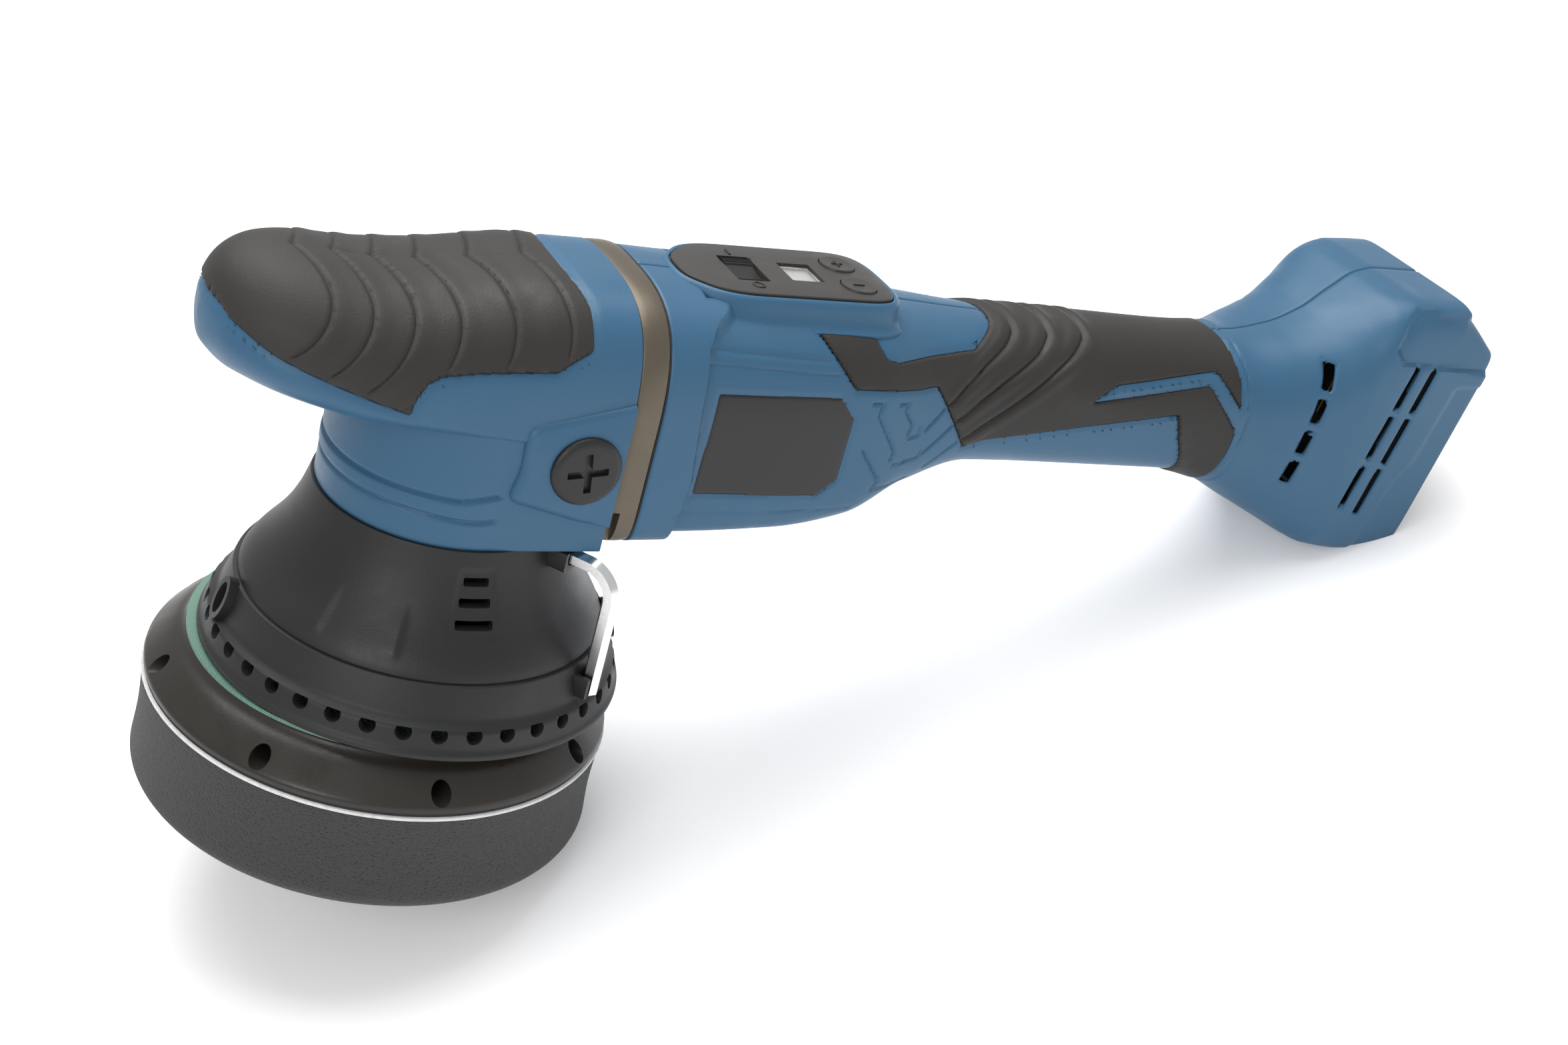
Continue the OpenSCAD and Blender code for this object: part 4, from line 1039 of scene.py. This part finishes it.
for side in (-1, 1):
    box = [(-3.2, -7.5), (3.2, -7.5), (3.2, 7.5), (-3.2, 7.5)]
    at_foot = ((37, side * 40.6, 117.5), (0, 1, 0), (0, 0, 1), (1, 0, 0))
    combine(flange, prisms(box, [at_foot], -2, 4.4), "DIFFERENCE")
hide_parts("gearbox_flange")
gasket = moulded_finish("gasket_rubber", (0.02, 0.02, 0.02), 0.5, 0.7, 1200.0, 0.00005)
alloy = metal_finish("cast_alloy", (0.55, 0.55, 0.56), 0.40, 0.62, 180.0, 1.0, 0.00010, (0.75, 1.1))
black_screws = metal_finish("blackened_screws", (0.09, 0.09, 0.09), 0.35, 0.5)
dress("flange_gasket", gasket)
dress("gear_case", alloy)
dress("flange_screws", black_screws)
dress("housing_screws", black_screws)

# ---- Access plugs: black nylon caps that screw into the head over the carbon brushes' side openings ----
upright = ((0, 0, 0), (1, 0, 0), (0, 1, 0), (0, 0, 1))
plug_profile = rounded([(0, 36), (7, 36), (7, 42.6), (11.3, 42.6), (11.3, 43.9), (9.6, 44.9), (0, 45.1)],
                       [0, 0.6, 0.2, 0.3, 0.9, 1.2, 0], 5)
for side, plug_name in ((1, "left_plug"), (-1, "right_plug")):
    plug = turned("plug", plug_profile, 96, (0, 0), [nylon.material], "housing")
    cross = [(-6.6, -1.2), (-1.2, -1.2), (-1.2, -6.6), (1.2, -6.6), (1.2, -1.2), (6.6, -1.2), (6.6, 1.2),
             (1.2, 1.2), (1.2, 6.6), (-1.2, 6.6), (-1.2, 1.2), (-6.6, 1.2)]
    combine(plug, prisms(rounded(cross, 0.35, 2), [upright], 43.2, 47), "DIFFERENCE")
    twist, tip_over = Matrix.Rotation(math.radians(8), 4, "Z"), Matrix.Rotation(-side * math.pi / 2, 4, "X")
    plug.data.transform(Matrix.Translation((0.0256, 0, 0.1406)) @ tip_over @ twist)
    plug.name = plug_name
    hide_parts(plug_name)

# ---- Motor: wound stator in a steel can, laminated rotor on its shaft, and a black nylon fan ----
laminations = metal_finish("laminated_steel", (0.35, 0.35, 0.36), 0.35, 0.5, 900.0, 0.02, 0.00006)
enamelled = metal_finish("enamelled_copper", (0.60, 0.26, 0.09), 0.22, 0.4, 700.0, 0.05, 0.0001)
for steel_part in ("rotor_core", "stator_core", "motor_can"):
    dress(steel_part, laminations)
dress("stator_windings", enamelled)
dress("cooling_fan", nylon)

# ---- Control panel: a satin black plate in a raised blue frame on top of the motor housing ----
# It holds the rocker switch, marked I and O, a small speed display, and two buttons marked plus and minus.
panel_plastic = moulded_finish("panel_plastic", (0.034, 0.032, 0.030), 0.30, 0.45, 1500.0, 0.00004,
                               (0.9, 1.12), 30.0)
switch_black = moulded_finish("switch_plastic", (0.012, 0.011, 0.011), 0.25, 0.38, 1500.0, 0.00004,
                              (0.9, 1.15), 30.0)
panel_outline = rounded([(61, 7), (61, -7), (72, -19), (129, -19), (134.5, -12), (134.5, 12), (129, 19),
                         (72, 19)], [5, 5, 12, 9, 9, 9, 9, 12], 8)


def stacked(outline, levels_in):
    """Points of an outline moved inwards by an amount and lifted to a height, for each level in turn."""
    return np.concatenate([np.concatenate([inset(outline, moved), np.full((len(outline), 1), height)], -1)
                           for moved, height in levels_in])


def rim(name, outline, profile, materials):
    """A closed ring: a profile of growth and height carried round a flat outline that runs anticlockwise."""
    points = stacked(outline, [(-grow, height) for grow, height in profile])
    faces = grid_faces(len(profile), len(outline), closed=True)
    last = (len(profile) - 1) * len(outline)
    k = np.arange(len(outline))
    k2 = (k + 1) % len(outline)
    faces = np.concatenate([faces, np.stack([last + k, last + k2, k2, k], -1)])
    piece = skin(name, points / 1000, faces, materials, "housing")
    face_outwards(piece)
    return piece


frame_profile = [(0.25, 181.5), (0.25, 190.3), (0.6, 190.8), (1.3, 191.0), (2.0, 190.7), (2.6, 189.8),
                 (2.9, 188.0), (3.1, 185.8), (3.6, 184.2), (4.6, 183.0), (6.2, 182.0), (6.0, 181.0)]
panel_frame = rim("panel_frame", panel_outline, frame_profile, [blue.material])
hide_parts("panel_frame")


def plate_of(outline, levels_in, body, name, materials):
    """A closed plate: the outline stacked at several heights, each moved inwards by its own amount."""
    count, last = len(outline), (len(levels_in) - 1) * len(outline)
    faces = grid_faces(len(levels_in), count, closed=True).tolist()
    faces += [list(range(count)), list(range(last, last + count))]
    piece = skin(name, stacked(outline, levels_in) / 1000, np.array(faces, dtype=object), materials, body)
    face_outwards(piece)
    return piece


panel = plate_of(panel_outline, [(0, 188.6), (0, 191.2), (0.25, 191.5), (0.7, 191.6)], "housing",
                 "control_panel", [panel_plastic.material])
button_x, button_y = 122.7, 8.3
rocker_hole = rounded([(78.7, -9.3), (90.3, -9.3), (90.3, 9.3), (78.7, 9.3)], 0.6, 3)
window_hole = rounded([(99.3, -6.8), (111.2, -6.8), (111.2, 6.8), (99.3, 6.8)], 0.6, 3)
button_hole = ring_of_points(6.3, 64)
for hole in (rocker_hole, window_hole, button_hole + (button_x, button_y),
             button_hole + (button_x, -button_y)):
    combine(panel, prisms(hole, [upright], 186, 195), "DIFFERENCE")
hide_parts("control_panel")

# Rocker: its thumb face is hollowed, with three ribs at each end. It rocks on a pin across the panel.
rocker_y = np.array([-8.75, -8.4, -7.6, -7.3, -7.0, -6.3, -6.0, -5.7, -5.0, -4.7, -4.4, -3.0, -1.5, 0])
rocker_up = np.array([2.6, 3.7, 4.25, 4.7, 4.2, 4.1, 4.5, 4.0, 3.85, 4.25, 3.7, 3.3, 3.05, 2.95])
rocker_section = np.concatenate([np.stack([rocker_y, rocker_up], -1),
                                 np.stack([-rocker_y[-2::-1], rocker_up[-2::-1]], -1),
                                 [(6.2, -1.5), (-6.2, -1.5)]])
rocker = plate_of(rocker_section, [(0.5, -5.35), (0, -5.0), (0, 5.0), (0.5, 5.35)], "rocker", "rocker_switch",
                  [switch_black.material])
axes_to_section = Matrix(((0, 0, 1, 0), (1, 0, 0, 0), (0, 1, 0, 0), (0, 0, 0, 1)))
tipped = Matrix.Rotation(math.radians(7), 4, "X")
rocker.data.transform(Matrix.Translation((0.0845, 0, 0.1866)) @ tipped @ axes_to_section)
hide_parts("rocker_switch")

cap = [(0, 187.0), (7, 187.0), (7, 188.2), (6, 188.25), (6, 191.9), (5.85, 192.15), (5.5, 192.25),
       (4.6, 192.1), (0, 192.0)]
minus_sign = [(-2.0, -0.35), (2.0, -0.35), (2.0, 0.35), (-2.0, 0.35)]
plus_sign = [(-2.0, -0.35), (-0.35, -0.35), (-0.35, -2.0), (0.35, -2.0), (0.35, -0.35), (2.0, -0.35),
             (2.0, 0.35), (0.35, 0.35), (0.35, 2.0), (-0.35, 2.0), (-0.35, 0.35), (-2.0, 0.35)]
for y, button_name, sign in ((button_y, "plus", plus_sign), (-button_y, "minus", minus_sign)):
    button = turned(button_name + "_button", cap, 72, (button_x, y), [panel_plastic.material], button_name)
    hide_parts(button_name + "_button")
    plate_of(rounded(sign, 0.15, 2) + (button_x, y), [(0, 191.9), (0, 192.3), (0.1, 192.4)], button_name,
             button_name + "_mark", [switch_black.material])
plate_of(rounded([(84.1, 10.6), (84.9, 10.6), (84.9, 14.6), (84.1, 14.6)], 0.2, 2),
         [(0, 191.5), (0, 191.85), (0.12, 191.95)], "housing", "on_mark", [switch_black.material])
rim("off_mark", ring_of_points(1.9, 48) + (84.5, -12.6),
    [(-0.3, 191.5), (-0.3, 191.85), (-0.15, 191.95), (0.15, 191.95), (0.3, 191.85), (0.3, 191.5)],
    [switch_black.material])
dress("switch_body", switch_black)

# Display: a clear acrylic window over the pale face of the module, on the panel's circuit board.
acrylic = Finish("clear_acrylic", (0.95, 0.95, 0.95), 0.04)
acrylic.shader.inputs["Transmission Weight"].default_value = 0.85
acrylic.shader.inputs["IOR"].default_value = 1.45
smear = acrylic.group(moulded, Grain_Scale=900.0, Scuff_Scale=60.0)
acrylic.sheen_range(smear.outputs["Scuff"], 0.02, 0.12)
display_face = moulded_finish("display_face", (0.62, 0.63, 0.62), 0.3, 0.4, 1500.0, 0.00001, (0.92, 1.05))
silicone = moulded_finish("dome_silicone", (0.55, 0.55, 0.55), 0.45, 0.6, 900.0, 0.00004)
dress("display_window", acrylic)
dress("display_module", display_face)
dress("plus_dome", silicone)
dress("minus_dome", silicone)
board = Finish("circuit_board", (0.02, 0.10, 0.045), 0.35)
tracks = board.node("TexBrick", Scale=260.0, Mortar_Size=0.03)
board_place = board.node("TexCoord")
board.join(board_place.outputs["Object"], tracks.inputs["Vector"])
board.blend(tracks.outputs["Fac"], 0.8, 1.9)
board.bump(tracks.outputs["Fac"], 0.00005)
dress("panel_board", board)
dress("controller_board", board)

# ---- Battery plate: the black slide plate that closes the foot, with two rails and brass terminals ----
plate_black = moulded_finish("slide_plate_nylon", (0.020, 0.020, 0.021), 0.32, 0.5, 1400.0, 0.00006,
                             (0.8, 1.3), 24.0)
turns = np.radians(np.arange(0, 360, 3.0))
wall_inside = 0.935      # the plate's size against the outside of the foot
levels = []
for station in (347.4, 350.4):
    ring = body_at(np.full(len(turns), station), turns)
    rise = wall_inside * (ring[:, 2] - 158)
    levels.append(np.stack([station + 0.177 * rise, wall_inside * ring[:, 1], 158 + rise], -1))
plate_faces = grid_faces(2, len(turns), closed=True).tolist()
plate_faces += [list(range(len(turns))), list(range(len(turns), 2 * len(turns)))]
slide_plate = skin("battery_plate", np.concatenate(levels) / 1000, np.array(plate_faces, dtype=object),
                   [plate_black.material], "housing")
face_outwards(slide_plate)
tilt = math.radians(10)
rail_frame = ((350.4, 0, 158), (math.cos(tilt), 0, -math.sin(tilt)), (0, 1, 0),
              (math.sin(tilt), 0, math.cos(tilt)))
for side in (-1, 1):
    rail = [(a, side * b) for a, b in ((-1, 24), (7, 24), (7, 19), (10, 19), (10, 27), (-1, 27))]
    combine(slide_plate, prisms(rail, [rail_frame], -34, 28), "UNION")
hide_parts("battery_plate")
brass = metal_finish("terminal_brass", (0.62, 0.42, 0.16), 0.2, 0.35, 500.0, 10.0)
dress("battery_terminals", brass)
